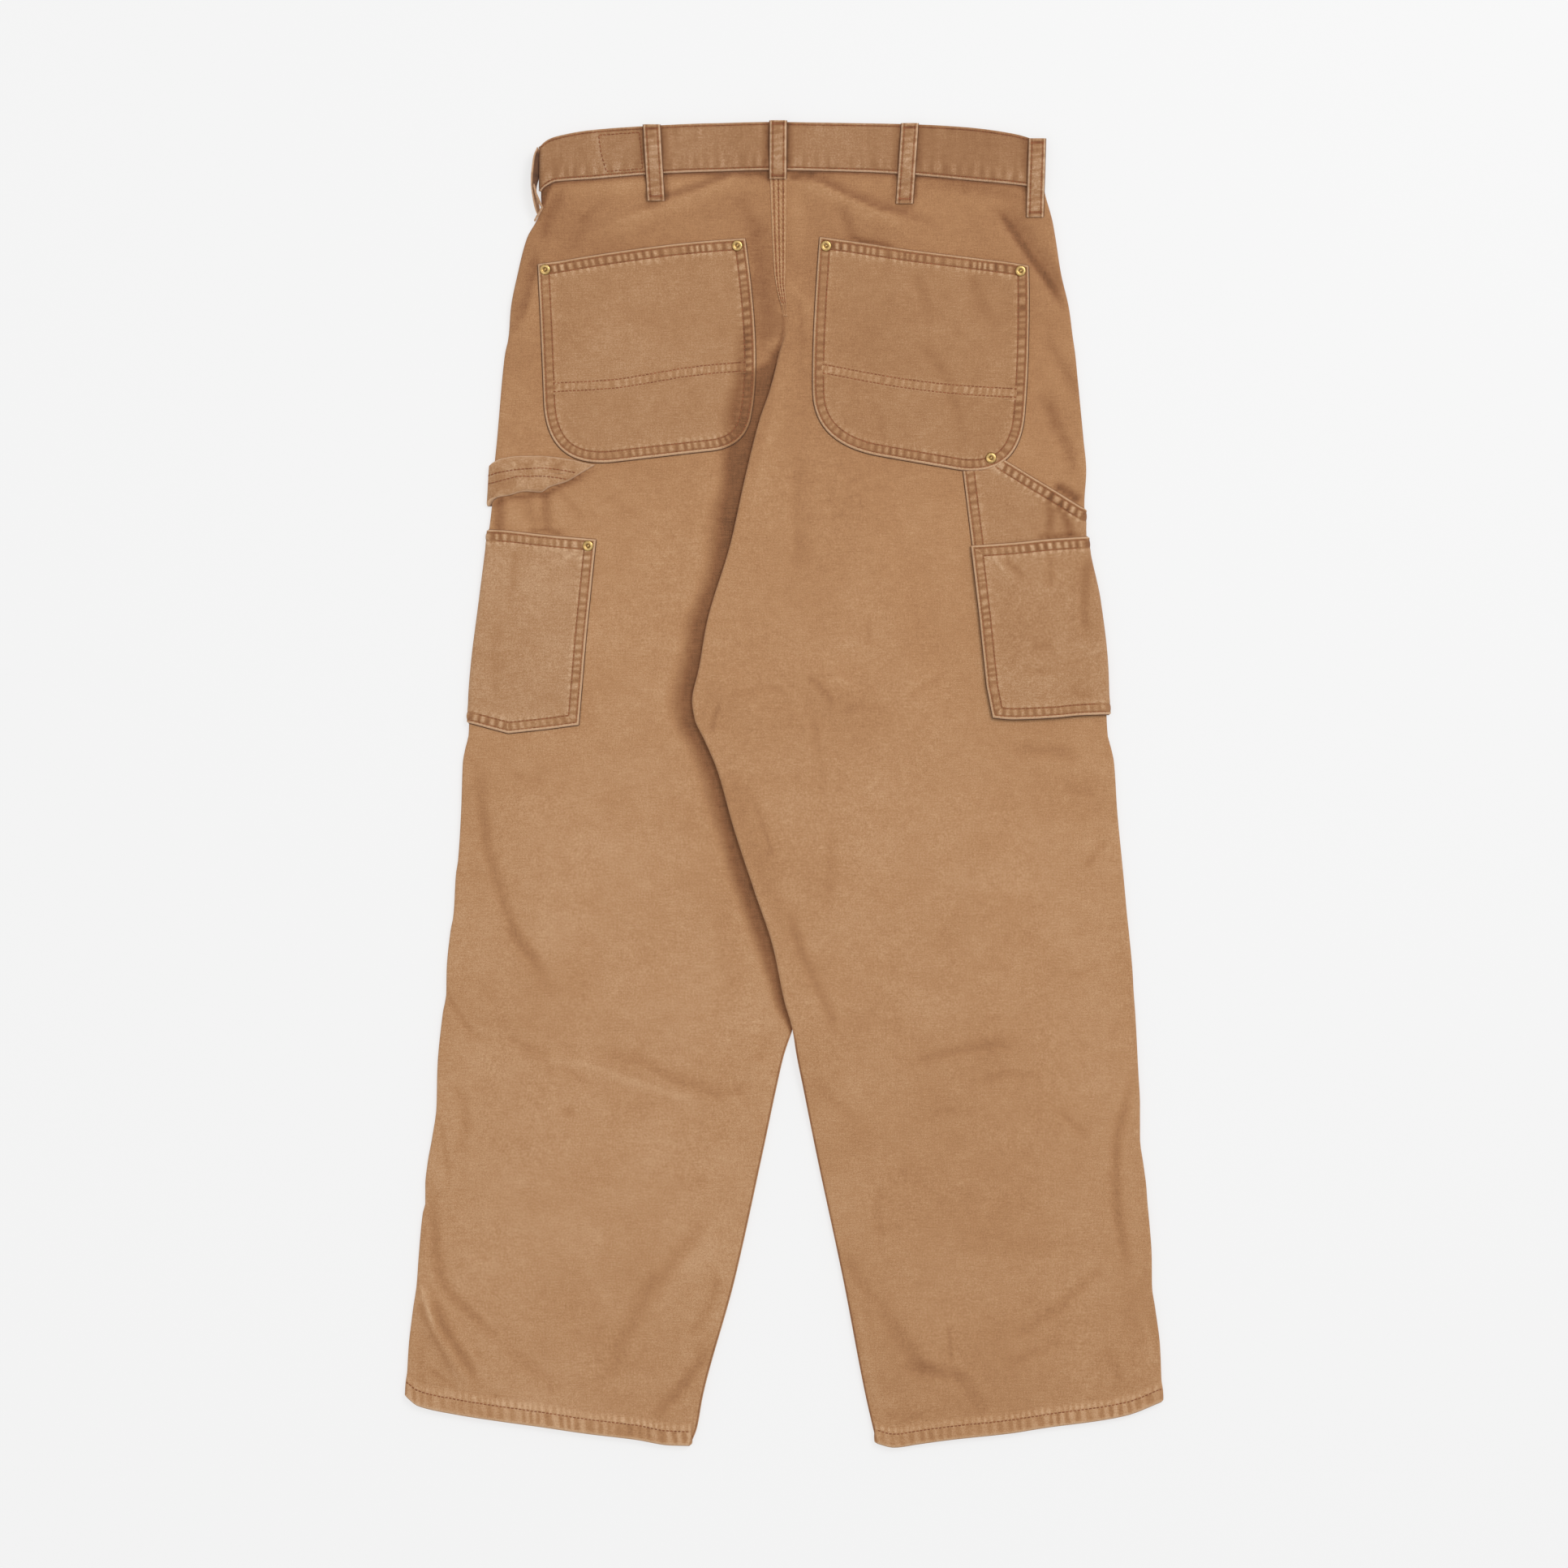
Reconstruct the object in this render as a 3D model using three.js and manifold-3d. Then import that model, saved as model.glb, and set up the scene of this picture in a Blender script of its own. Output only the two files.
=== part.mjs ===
// Carpenter pants in duck canvas, laid flat with the back up. Millimetres. +X is to the right seen from
// above, +Y points to the waist and +Z up. The origin is on the surface, under the middle of the garment.
//
// Each leg is a flattened tube of two cloth walls, a front panel below and a back panel above, which meet at
// the side seam and the inseam. From the crotch to the knee the right leg's inner side laps over the left leg.
import * as THREE from 'three';
import { mergeVertices } from 'three/addons/utils/BufferGeometryUtils.js';
import Module from 'manifold-3d';

const wasm = await Module();
wasm.setup();

// Cloth and the gaps between its layers
const CLOTH = 1.2;
const SEAM_GAP = 0.3;
const LEG_SLACK = 0.9;
const SOFT_RISE = 1.0;
const SIDE_ROUND = 2.7;
const HEM_EXTRA = { front: 0.6, back: 0.8 };
const FELLED_SEAM = { width: 11.5, rise: 0.9, fullAt: 413, goneAt: 376 };

// Waistband
const BAND_WALL = 2.4;
const BAND_ROUND = 3.6;
const BAND_SEAM_GAP = 0.6;
const BAND_FRONT_GAP = 0.6;
const END_CROWDING = 0.6;

// Where the right leg lies on the left one
const LAP = { crotch: 372, knee: -198, clearance: 0.5, axisTop: 0.9, axisFoot: 6.6 };
const LAP_LIFT = 2 * CLOTH + LEG_SLACK + LAP.clearance;
const LAP_RAMP = { start: 18, end: 58, top: 420, full: 386, foot: -205, gone: -290 };
const LAP_FLAT = { from: 40, to: 8 };
const CROTCH_ROLL = { open: 400, closed: 372 };

// Pieces sewn on the back
const PATCH_WALL = 1.2;
const LOOP_WALL = 1.5;
const LOOP_WIDTH = 13;
const RIVET = { radius: 4.5, rim: 0.7, crown: 1.25, dimple: 0.85, ring: 3.3, hole: 1.6, sides: 12 };
const BUTTON = { x: -14, y: 510, radius: 8.5, thickness: 2, bevel: 0.5, flat: 10, reach: 44, sides: 20 };
const BUTTON_LIFT = BUTTON.thickness + SEAM_GAP;

const CLOTH_MATERIAL = new THREE.MeshStandardMaterial({ color: 0xb58a5f, roughness: 0.93, metalness: 0 });
const BAND_MATERIAL = new THREE.MeshStandardMaterial({ color: 0xa77c58, roughness: 0.93, metalness: 0 });
const PATCH_MATERIAL = new THREE.MeshStandardMaterial({ color: 0xae825d, roughness: 0.93, metalness: 0 });
const BRASS_MATERIAL = new THREE.MeshStandardMaterial({ color: 0xc9a24a, roughness: 0.38, metalness: 1 });

// Side seams of the two legs, from the waistband to the hem
const SIDE_SEAMS = [
  { y: 479, left: -190, right: 208 },
  { y: 463, left: -191.5, right: 212 },
  { y: 452, left: -195.5, right: 215 },
  { y: 438, left: -206, right: 217.5 },
  { y: 409, left: -213.5, right: 222 },
  { y: 381, left: -219, right: 228.5 },
  { y: 329, left: -225.5, right: 235 },
  { y: 277, left: -230, right: 240 },
  { y: 251, left: -232.5, right: 242.3 },
  { y: 225, left: -234, right: 240.8 },
  { y: 199, left: -237, right: 241.3 },
  { y: 147, left: -243.5, right: 251 },
  { y: 95, left: -250, right: 257 },
  { y: 69, left: -252, right: 258 },
  { y: 17, left: -257.5, right: 265.5 },
  { y: -87, left: -264.5, right: 273 },
  { y: -191, left: -274.5, right: 281 },
  { y: -295, left: -284.5, right: 285.7 },
  { y: -399, left: -294.5, right: 294.7 },
  { y: -451, left: -301, right: 301.5 },
  { y: -491, left: -303, right: 303 },
];

// Inner edges: the seat seam above the crotch, and the inner sides of the legs below it. Between crotch and
// knee the left one is hidden under the right leg and mirrors it.
const INNER_EDGES = [
  { y: 492, right: -10.4 },
  { y: 413, right: -7 },
  { y: 392, right: -3.6 },
  { y: 379, right: -0.2 },
  { y: 366, right: 1 },
  { y: 346, right: -3.6 },
  { y: 315, right: -11.5 },
  { y: 292, right: -19.5 },
  { y: 248, right: -30.6 },
  { y: 192, right: -43 },
  { y: 128, right: -62 },
  { y: 93, right: -68 },
  { y: 66, right: -73.6 },
  { y: 51, right: -71.5 },
  { y: 35, right: -64 },
  { y: 10, right: -53.4 },
  { y: -34, right: -41 },
  { y: -87, right: -23.7 },
  { y: -131, right: -9 },
  { y: -174, right: 0 },
  { y: -198, left: 6.4, right: 6.8 },
  { y: -217, left: 0, right: 9.8 },
  { y: -243, left: -6, right: 15 },
  { y: -295, left: -17, right: 25.4 },
  { y: -399, left: -40, right: 47.5 },
  { y: -490, left: -65, right: 65 },
  { y: -530, left: -75.4, right: 74.2 },
];

// Waistband outline, seen from above
const BAND_OUTLINE = [
  { x: -195.5, lower: 475, upper: 511 },
  { x: -190, lower: 479.5, upper: 515.5 },
  { x: -183, lower: 482.6, upper: 518.5 },
  { x: -154, lower: 484.8, upper: 523.8 },
  { x: -110, lower: 488.4, upper: 527 },
  { x: -60, lower: 490.6, upper: 529.2 },
  { x: 0, lower: 491.6, upper: 530 },
  { x: 67, lower: 490.2, upper: 529.2 },
  { x: 106, lower: 487.8, upper: 528.3 },
  { x: 146, lower: 484, upper: 526 },
  { x: 184, lower: 480.4, upper: 520.8 },
  { x: 208.5, lower: 477.4, upper: 513.5 },
];

// Lower edges of the hems
const HEMS = {
  left: [
    { x: -303, y: -491 },
    { x: -293, y: -498.5 },
    { x: -250, y: -508 },
    { x: -177, y: -517.5 },
    { x: -116, y: -525 },
    { x: -91, y: -530 },
    { x: -75.4, y: -530.4 },
  ],
  right: [
    { x: 74.2, y: -528.5 },
    { x: 88, y: -531.7 },
    { x: 108, y: -529 },
    { x: 181, y: -521 },
    { x: 228.5, y: -512 },
    { x: 272.5, y: -505.5 },
    { x: 303, y: -495 },
  ],
};

// Largest folds of the back, as crest lines with their height and their reach on either side of the line
const FOLDS = [
  { crest: [[-160, 444], [-105, 465], [-62, 478], [-15, 484]], height: 2.4, above: 10, below: 34 },
  { crest: [[8, 480], [38, 477], [72, 461], [118, 448]], height: 2.4, above: 12, below: 34 },
  { crest: [[186, 466], [212, 432], [232, 380]], height: 2.2, above: 30, below: 16 },
  { crest: [[150, 452], [176, 436], [200, 404], [214, 372]], height: 1.6, above: 14, below: 30 },
  { crest: [[-182, 440], [-200, 396], [-214, 356]], height: 1.8, above: 12, below: 26 },
  { crest: [[-64, 92], [-40, 74], [-14, 44]], height: 1.2, above: 20, below: 24 },
  { crest: [[18, 104], [36, 78], [64, 60]], height: 1.4, above: 22, below: 26 },
  { crest: [[-294, -396], [-276, -440], [-250, -480]], height: 1.8, above: 22, below: 16 },
  { crest: [[-200, 20], [-190, -160], [-205, -330]], height: 1.6, above: 60, below: 60 },
  { crest: [[150, 20], [165, -160], [185, -330]], height: 1.6, above: 60, below: 60 },
];

const FOLD_FADE = 0.25;

// Rows of the leg panels, by their height at the inner edge
const ROWS = [
  491, 484, 475, 464, 450, 432, 412, 398, 384, 370, 356, 335, 305, 270, 235, 200, 165, 130, 98, 68, 45, 10,
  -35, -90, -145, -198, -225, -300, -380, -450, -503, -514, -518, -530,
];
const TOP_ROW = ROWS[0];
const HEM_ROW = ROWS.at(-1);
const HEM_LINE = -517;
const TOP_BOW_REACH = 420;
const HEM_BOW_REACH = -430;
const ROUND_STEPS = [0, 42, 90];
const COLUMNS = { back: 13, front: 8 };

function mix(a, b, share) {
  return a + (b - a) * share;
}

// Eases from 0 at one value to 1 at another.
function ease(from, to, value) {
  const share = THREE.MathUtils.clamp((value - from) / (to - from), 0, 1);
  return share * share * (3 - 2 * share);
}

// A smooth curve through the rows of a table that doesn't overshoot them.
function curve(table, from, to) {
  const rows = table.filter((row) => row[to] !== undefined).sort((a, b) => a[from] - b[from]);
  const rise = (i) => (rows[i + 1][to] - rows[i][to]) / (rows[i + 1][from] - rows[i][from]);
  const last = rows.length - 1;
  const slopes = rows.map((row, i) => {
    if (i === 0) return rise(0);
    if (i === last) return rise(last - 1);
    const before = rise(i - 1);
    const after = rise(i);
    return before * after <= 0 ? 0 : (2 * before * after) / (before + after);
  });
  return (value) => {
    const at = THREE.MathUtils.clamp(value, rows[0][from], rows[last][from]);
    const found = rows.findIndex((row) => row[from] >= at);
    const i = Math.max(found - 1, 0);
    const width = rows[i + 1][from] - rows[i][from];
    const t = (at - rows[i][from]) / width;
    const start = rows[i][to] * (1 + 2 * t) * (1 - t) ** 2 + slopes[i] * width * t * (1 - t) ** 2;
    const end = rows[i + 1][to] * t * t * (3 - 2 * t) + slopes[i + 1] * width * t * t * (t - 1);
    return start + end;
  };
}

const sideSeam = { left: curve(SIDE_SEAMS, 'y', 'left'), right: curve(SIDE_SEAMS, 'y', 'right') };
const lowerLegInner = curve(INNER_EDGES, 'y', 'left');
const rightInner = curve(INNER_EDGES, 'y', 'right');
const bandLower = curve(BAND_OUTLINE, 'x', 'lower');
const bandUpper = curve(BAND_OUTLINE, 'x', 'upper');
const hemEdge = { left: curve(HEMS.left, 'x', 'y'), right: curve(HEMS.right, 'x', 'y') };

// The left leg's inner edge: the seat seam, then the mirrored edge under the lap, then its own.
function leftInner(y) {
  if (y > LAP.crotch) return rightInner(y) - SEAM_GAP;
  if (y < LAP.knee) return lowerLegInner(y);
  const axis = mix(LAP.axisFoot, LAP.axisTop, (y - LAP.knee) / (LAP.crotch - LAP.knee));
  return 2 * axis - rightInner(y);
}

const innerEdge = { left: leftInner, right: rightInner };

// Share of the lap at a height: 0 above the crotch, 1 between crotch and knee, 0 on the lower legs.
function lapShare(y) {
  return ease(LAP_RAMP.top, LAP_RAMP.full, y) * ease(LAP_RAMP.gone, LAP_RAMP.foot, y);
}

// How far the button below raises the cloth above it.
function buttonLift(x, y) {
  const distance = Math.hypot(x - BUTTON.x, y - BUTTON.y);
  return BUTTON_LIFT * ease(BUTTON.reach, BUTTON.flat, distance);
}

// Height of one fold: a crest line with a soft slope on either side, fading at its ends.
function foldHeight(fold, x, y) {
  let best = Infinity;
  let side = 1;
  let along = 0;
  const spans = fold.crest.length - 1;
  for (let i = 0; i < spans; i += 1) {
    const [ax, ay] = fold.crest[i];
    const [bx, by] = fold.crest[i + 1];
    const dx = bx - ax;
    const dy = by - ay;
    const t = THREE.MathUtils.clamp(((x - ax) * dx + (y - ay) * dy) / (dx * dx + dy * dy), 0, 1);
    const distance = Math.hypot(x - ax - t * dx, y - ay - t * dy);
    if (distance < best) {
      best = distance;
      side = dx * (y - ay) - dy * (x - ax);
      along = (i + t) / spans;
    }
  }
  const reach = side > 0 ? fold.above : fold.below;
  const ends = ease(0, FOLD_FADE, along) * ease(1, 1 - FOLD_FADE, along);
  return fold.height * ease(reach, 0, best) * ends;
}

// Soft relief of the back over its plain level. It dies out where the left leg runs under the right one.
function relief(side, x, y) {
  const folds = FOLDS.reduce((sum, fold) => sum + foldHeight(fold, x, y), 0);
  const total = SOFT_RISE + folds;
  if (side === 'right') return total;
  const clearOfLap = ease(rightInner(y) - LAP_FLAT.to, rightInner(y) - LAP_FLAT.from, x);
  return total * mix(1, clearOfLap, lapShare(y));
}

// Underside of a leg tube: flat on the surface, raised where the right leg lies on the left one.
function legBase(side, x, y) {
  const lifted = buttonLift(x, y);
  if (side === 'left') return lifted;
  const reach = leftInner(y);
  return lifted + LAP_LIFT * lapShare(y) * ease(reach + LAP_RAMP.end, reach + LAP_RAMP.start, x);
}

// Raised strip of the felled seat seam on the right back panel.
function seamRise(side, x, y) {
  if (side === 'left') return 0;
  const across = ease(FELLED_SEAM.width + 1, FELLED_SEAM.width, x - rightInner(y));
  return FELLED_SEAM.rise * across * ease(FELLED_SEAM.goneAt, FELLED_SEAM.fullAt, y);
}

function legTop(side, x, y, walls) {
  const plain = legBase(side, x, y) + walls.front + LEG_SLACK + walls.back;
  return plain + relief(side, x, y) + seamRise(side, x, y);
}

// Columns of a panel: the rounded side seam, the flat, and the rounded inner edge. Each has its distance
// from the nearer edge or its share of the flat.
function panelColumns(face, side) {
  const round = ROUND_STEPS.map((degrees) => THREE.MathUtils.degToRad(degrees));
  const flat = Array.from({ length: COLUMNS[face] }, (_, i) => (i + 1) / (COLUMNS[face] + 1));
  const seam = face === 'back' && side === 'right' ? [FELLED_SEAM.width + 1, FELLED_SEAM.width] : [];
  return [
    ...round.map((angle) => ({ edge: 'side', angle })),
    ...flat.map((share) => ({ share })),
    ...seam.map((inset) => ({ inset })),
    ...round.toReversed().map((angle) => ({ edge: 'inner', angle })),
  ];
}

// Outer and inner surface points of one leg panel, row by row from the waistband to the hem.
function legPanel(side, face) {
  const sign = side === 'left' ? -1 : 1;
  const topX = sideSeam[side](SIDE_SEAMS[0].y);
  const topY = bandLower(topX) - BAND_SEAM_GAP;
  const hemX = sideSeam[side](SIDE_SEAMS.at(-1).y);
  const hemY = hemEdge[side](hemX);
  const innerTopY = bandLower(rightInner(TOP_ROW)) - BAND_SEAM_GAP;
  const innerHemY = hemEdge[side](innerEdge[side](HEM_ROW));
  const columns = panelColumns(face, side);
  const outer = [];
  const inner = [];
  for (const row of ROWS) {
    const share = (TOP_ROW - row) / (TOP_ROW - HEM_ROW);
    const sideY = mix(topY, hemY, share);
    const innerY = mix(innerTopY, innerHemY, share);
    const sideX = sideSeam[side](sideY);
    const innerX = innerEdge[side](row);
    const roll = ease(CROTCH_ROLL.open, CROTCH_ROLL.closed, row);
    const atHem = row < HEM_LINE ? 1 : 0;
    const walls = { front: CLOTH + HEM_EXTRA.front * atHem, back: CLOTH + HEM_EXTRA.back * atHem };
    const wall = walls[face];
    const nearTop = ease(TOP_BOW_REACH, TOP_ROW, row);
    const nearHem = ease(HEM_BOW_REACH, HEM_ROW, row);
    const onRow = (x) => {
      const line = (from, to) => mix(from, to, (x - sideX) / (innerX - sideX));
      const topBow = bandLower(x) - BAND_SEAM_GAP - line(topY, innerTopY);
      const hemBow = hemEdge[side](x) - line(hemY, innerHemY);
      return line(sideY, innerY) + topBow * nearTop + hemBow * nearHem;
    };
    const flatFrom = sideX - sign * SIDE_ROUND;
    const flatTo = innerX + sign * SIDE_ROUND;
    const insetTo = side === 'right' && face === 'back' ? innerX + FELLED_SEAM.width + 1 : flatTo;
    const pair = columns.map((column) => {
      let x;
      let wallX;
      let turn = 1;
      if (column.share !== undefined) {
        x = mix(flatFrom, insetTo, column.share);
        wallX = x;
      } else if (column.inset !== undefined) {
        x = innerX + column.inset;
        wallX = x;
      } else {
        const bend = 1 - Math.cos(column.angle);
        const distance = SIDE_ROUND * bend;
        const wallDistance = wall + (SIDE_ROUND - wall) * bend;
        const rolled = column.edge === 'side' ? 1 : roll;
        const edgeX = column.edge === 'side' ? sideX : innerX;
        const inward = column.edge === 'side' ? -sign : sign;
        x = edgeX + inward * distance;
        wallX = edgeX + inward * mix(distance, wallDistance, rolled);
        turn = mix(1, Math.sin(column.angle), rolled);
      }
      const y = onRow(x);
      const base = legBase(side, x, y);
      const top = legTop(side, x, y, walls);
      const middle = (base + top) / 2;
      const level = (outerLevel) => {
        const start = middle + Math.sign(outerLevel - middle) * (SEAM_GAP / 2);
        return mix(start, outerLevel, turn);
      };
      const outerLevel = face === 'back' ? top : base;
      const innerLevel = face === 'back' ? top - wall : base + wall;
      return {
        outer: new THREE.Vector3(x, y, level(outerLevel)),
        inner: new THREE.Vector3(wallX, y, level(innerLevel)),
      };
    });
    outer.push(pair.map((points) => points.outer));
    inner.push(pair.map((points) => points.inner));
  }
  return { outer, inner };
}

// A closed cloth wall between two grids of points.
function wallGeometry(outer, inner) {
  const rows = outer.length;
  const columns = outer[0].length;
  const points = [...outer.flat(), ...inner.flat()];
  const at = (layer, i, j) => (layer * rows + i) * columns + j;
  const faces = [];
  const quad = (a, b, c, d) => faces.push(a, b, c, a, c, d);
  for (let i = 0; i < rows - 1; i += 1) {
    for (let j = 0; j < columns - 1; j += 1) {
      quad(at(0, i, j), at(0, i + 1, j), at(0, i + 1, j + 1), at(0, i, j + 1));
      quad(at(1, i, j), at(1, i, j + 1), at(1, i + 1, j + 1), at(1, i + 1, j));
    }
    quad(at(0, i, 0), at(1, i, 0), at(1, i + 1, 0), at(0, i + 1, 0));
    quad(at(0, i, columns - 1), at(0, i + 1, columns - 1), at(1, i + 1, columns - 1), at(1, i, columns - 1));
  }
  for (let j = 0; j < columns - 1; j += 1) {
    quad(at(0, 0, j), at(0, 0, j + 1), at(1, 0, j + 1), at(1, 0, j));
    quad(at(0, rows - 1, j), at(1, rows - 1, j), at(1, rows - 1, j + 1), at(0, rows - 1, j + 1));
  }
  const volume = faces.reduce((sum, _, k) => {
    if (k % 3 !== 0) return sum;
    const [a, b, c] = [points[faces[k]], points[faces[k + 1]], points[faces[k + 2]]];
    return sum + a.dot(new THREE.Vector3().crossVectors(b, c));
  }, 0);
  const index = volume < 0 ? faces.toReversed() : faces;
  const geometry = new THREE.BufferGeometry().setFromPoints(points);
  geometry.setIndex(index);
  geometry.computeVertexNormals();
  return geometry;
}

function piece(name, geometry, material) {
  const mesh = new THREE.Mesh(geometry, material);
  mesh.name = name;
  return mesh;
}

// Unit normals of a grid, pointing up and out.
function gridNormals(grid, sign) {
  const rows = grid.length;
  const columns = grid[0].length;
  return grid.map((line, i) => line.map((point, j) => {
    const below = grid[Math.min(i + 1, rows - 1)][j];
    const down = new THREE.Vector3().subVectors(below, grid[Math.max(i - 1, 0)][j]);
    const across = new THREE.Vector3().subVectors(line[Math.min(j + 1, columns - 1)], line[Math.max(j - 1, 0)]);
    return new THREE.Vector3().crossVectors(down, across).multiplyScalar(-sign).normalize();
  }));
}

function offsetGrid(grid, normals, distance) {
  return grid.map((line, i) => line.map((point, j) => point.clone().addScaledVector(normals[i][j], distance)));
}

function toSolid(geometry) {
  const bare = geometry.clone();
  bare.deleteAttribute('normal');
  bare.deleteAttribute('uv');
  const merged = mergeVertices(bare, 1e-4);
  const vertProperties = new Float32Array(merged.attributes.position.array);
  const triVerts = new Uint32Array(merged.index.array);
  return new wasm.Manifold(new wasm.Mesh({ numProp: 3, vertProperties, triVerts }));
}

function toGeometry(solid) {
  const mesh = solid.getMesh();
  const geometry = new THREE.BufferGeometry();
  geometry.setAttribute('position', new THREE.BufferAttribute(mesh.vertProperties, 3));
  geometry.setIndex(new THREE.BufferAttribute(mesh.triVerts, 1));
  geometry.computeVertexNormals();
  return geometry;
}

// An upright prism over an outline, tall enough to cut through every layer.
function prism(shape) {
  const height = 60;
  const geometry = new THREE.ExtrudeGeometry(shape, { depth: height, bevelEnabled: false, curveSegments: 8 });
  geometry.translate(0, 0, -height / 2);
  return toSolid(geometry);
}

function outline(points) {
  return new THREE.Shape(points.map(([x, y]) => new THREE.Vector2(x, y)));
}

// A back pocket: straight top, bowed inner side, rounded lower corners and a straight outer side.
function backPocketShape(pocket) {
  const shape = new THREE.Shape();
  shape.moveTo(...pocket.topOuter);
  shape.lineTo(...pocket.topInner);
  shape.quadraticCurveTo(...pocket.innerBow, ...pocket.innerCorner.from);
  shape.quadraticCurveTo(...pocket.innerCorner.via, ...pocket.innerCorner.to);
  shape.lineTo(...pocket.outerCorner.from);
  shape.quadraticCurveTo(...pocket.outerCorner.via, ...pocket.outerCorner.to);
  shape.closePath();
  return shape;
}

const BACK_POCKETS = {
  left: {
    topOuter: [-197, 416],
    topInner: [-31.2, 436.8],
    innerBow: [-17.5, 340],
    innerCorner: { from: [-26.4, 295], via: [-31, 268.5], to: [-62, 266.5] },
    outerCorner: { from: [-150, 256.5], via: [-186, 258], to: [-191.8, 296] },
  },
  right: {
    topOuter: [195.7, 414.7],
    topInner: [28.6, 438],
    innerBow: [22.1, 352],
    innerCorner: { from: [24, 298], via: [30, 276], to: [60, 265.5] },
    outerCorner: { from: [145, 251], via: [185, 250], to: [190.5, 296] },
  },
};

// Patches that run past the side seam follow the leg round to it.
const UTILITY_LEFT = [
  [-275, 204], [-225, 203], [-193, 199.5], [-150.7, 195.7], [-158.6, 118], [-164.5, 47.3], [-189.3, 44],
  [-220.8, 40.6], [-237.4, 45], [-275, 55],
];
const UTILITY_RIGHT = [
  [149.8, 190.5], [184.6, 193], [211, 195.7], [285, 199.5], [285, 57.5], [237.7, 55], [216, 53], [183, 51.7],
  [167.2, 53], [162.3, 78], [156.5, 134],
];
const RULER_PANEL = [
  [143, 258], [176, 260], [199, 245.6], [220.4, 232.7], [237.3, 222], [275, 196], [285, 59], [237.7, 57],
  [183, 53.7], [169, 55], [151, 190],
];
const HAMMER_LOOP = [
  [-260, 250], [-237, 252], [-230.8, 258.7], [-214, 262.4], [-193.4, 263.3], [-176.8, 261.6], [-151, 256],
  [-164.5, 248.3], [-184.3, 238.4], [-192.6, 233.8], [-207.5, 233.8], [-226.6, 230.5], [-237, 223], [-260, 222],
];
const POCKET_CLEARANCE = 1.008;

const panels = {};
for (const side of ['left', 'right']) {
  for (const face of ['back', 'front']) {
    panels[`${face}_${side}`] = legPanel(side, face);
  }
}

// A patch of cloth that follows the back panel's own points, moved out.
function patchSolid(side, shape, lift, wall) {
  const grid = panels[`back_${side}`].outer;
  const normals = gridNormals(grid, side === 'left' ? -1 : 1);
  const slab = wallGeometry(offsetGrid(grid, normals, lift + wall), offsetGrid(grid, normals, lift));
  return toSolid(slab).intersect(prism(shape));
}

// The prism of a pocket, a little larger than the pocket, to cut what ends at its edge.
function pocketCutter(side) {
  const solid = prism(backPocketShape(BACK_POCKETS[side]));
  const box = solid.boundingBox();
  const x = (box.min[0] + box.max[0]) / 2;
  const y = (box.min[1] + box.max[1]) / 2;
  return solid.translate([-x, -y, 0]).scale([POCKET_CLEARANCE, POCKET_CLEARANCE, 1]).translate([x, y, 0]);
}

// Height of the back at a point, on the flat faces of its panel.
function backHeight(x, y) {
  for (const side of ['right', 'left']) {
    const grid = panels[`back_${side}`].outer;
    for (let i = 0; i < grid.length - 1; i += 1) {
      for (let j = 0; j < grid[0].length - 1; j += 1) {
        const [p, q, r, s] = [grid[i][j], grid[i + 1][j], grid[i + 1][j + 1], grid[i][j + 1]];
        for (const [a, b, c] of [[p, q, r], [p, r, s]]) {
          const area = (b.x - a.x) * (c.y - a.y) - (c.x - a.x) * (b.y - a.y);
          const u = ((x - a.x) * (c.y - a.y) - (c.x - a.x) * (y - a.y)) / area;
          const v = ((b.x - a.x) * (y - a.y) - (x - a.x) * (b.y - a.y)) / area;
          if (u >= 0 && v >= 0 && u + v <= 1) return a.z + u * (b.z - a.z) + v * (c.z - a.z);
        }
      }
    }
  }
  return 0;
}

function bandTop(x, y) {
  return buttonLift(x, y) + 2 * BAND_WALL + LEG_SLACK;
}

// The waistband: one strip that starts at the centre front, turns up round the right side, runs across the
// back and turns down round the left side to the centre front again.
function waistband() {
  const ends = { left: BAND_OUTLINE[0].x, right: BAND_OUTLINE.at(-1).x };
  const across = 24;
  const path = [];
  const flat = (from, to, up) => {
    for (let i = 0; i <= across; i += 1) {
      const even = i / across;
      const crowded = (1 - Math.cos(Math.PI * even)) / 2;
      const x = mix(from, to, mix(even, crowded, END_CROWDING));
      path.push({ x, wallX: x, up });
    }
  };
  const turn = (side, directions) => {
    const sign = side === 'left' ? -1 : 1;
    for (const degrees of directions) {
      const angle = THREE.MathUtils.degToRad(degrees);
      const bend = 1 - Math.cos(angle);
      const x = ends[side] - sign * BAND_ROUND * bend;
      const wallX = ends[side] - sign * (BAND_WALL + (BAND_ROUND - BAND_WALL) * bend);
      path.push({ x, wallX, up: Math.sin(angle) });
    }
  };
  flat(BAND_FRONT_GAP / 2, ends.right - BAND_ROUND, -1);
  turn('right', [-45, 0, 45]);
  flat(ends.right - BAND_ROUND, ends.left + BAND_ROUND, 1);
  turn('left', [45, 0, -45]);
  flat(ends.left + BAND_ROUND, -BAND_FRONT_GAP / 2, -1);
  const rows = [0, 0.5, 1];
  const points = (place) => rows.map((share) => path.map(({ x, wallX, up }) => {
    const y = mix(bandLower(x), bandUpper(x), share);
    const base = buttonLift(x, y);
    const top = bandTop(x, y);
    const middle = (base + top) / 2;
    const half = (top - base) / 2;
    const reach = place === 'outer' ? half : half - BAND_WALL;
    return new THREE.Vector3(place === 'outer' ? x : wallX, y, middle + reach * up);
  }));
  return wallGeometry(points('outer'), points('inner'));
}

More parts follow.
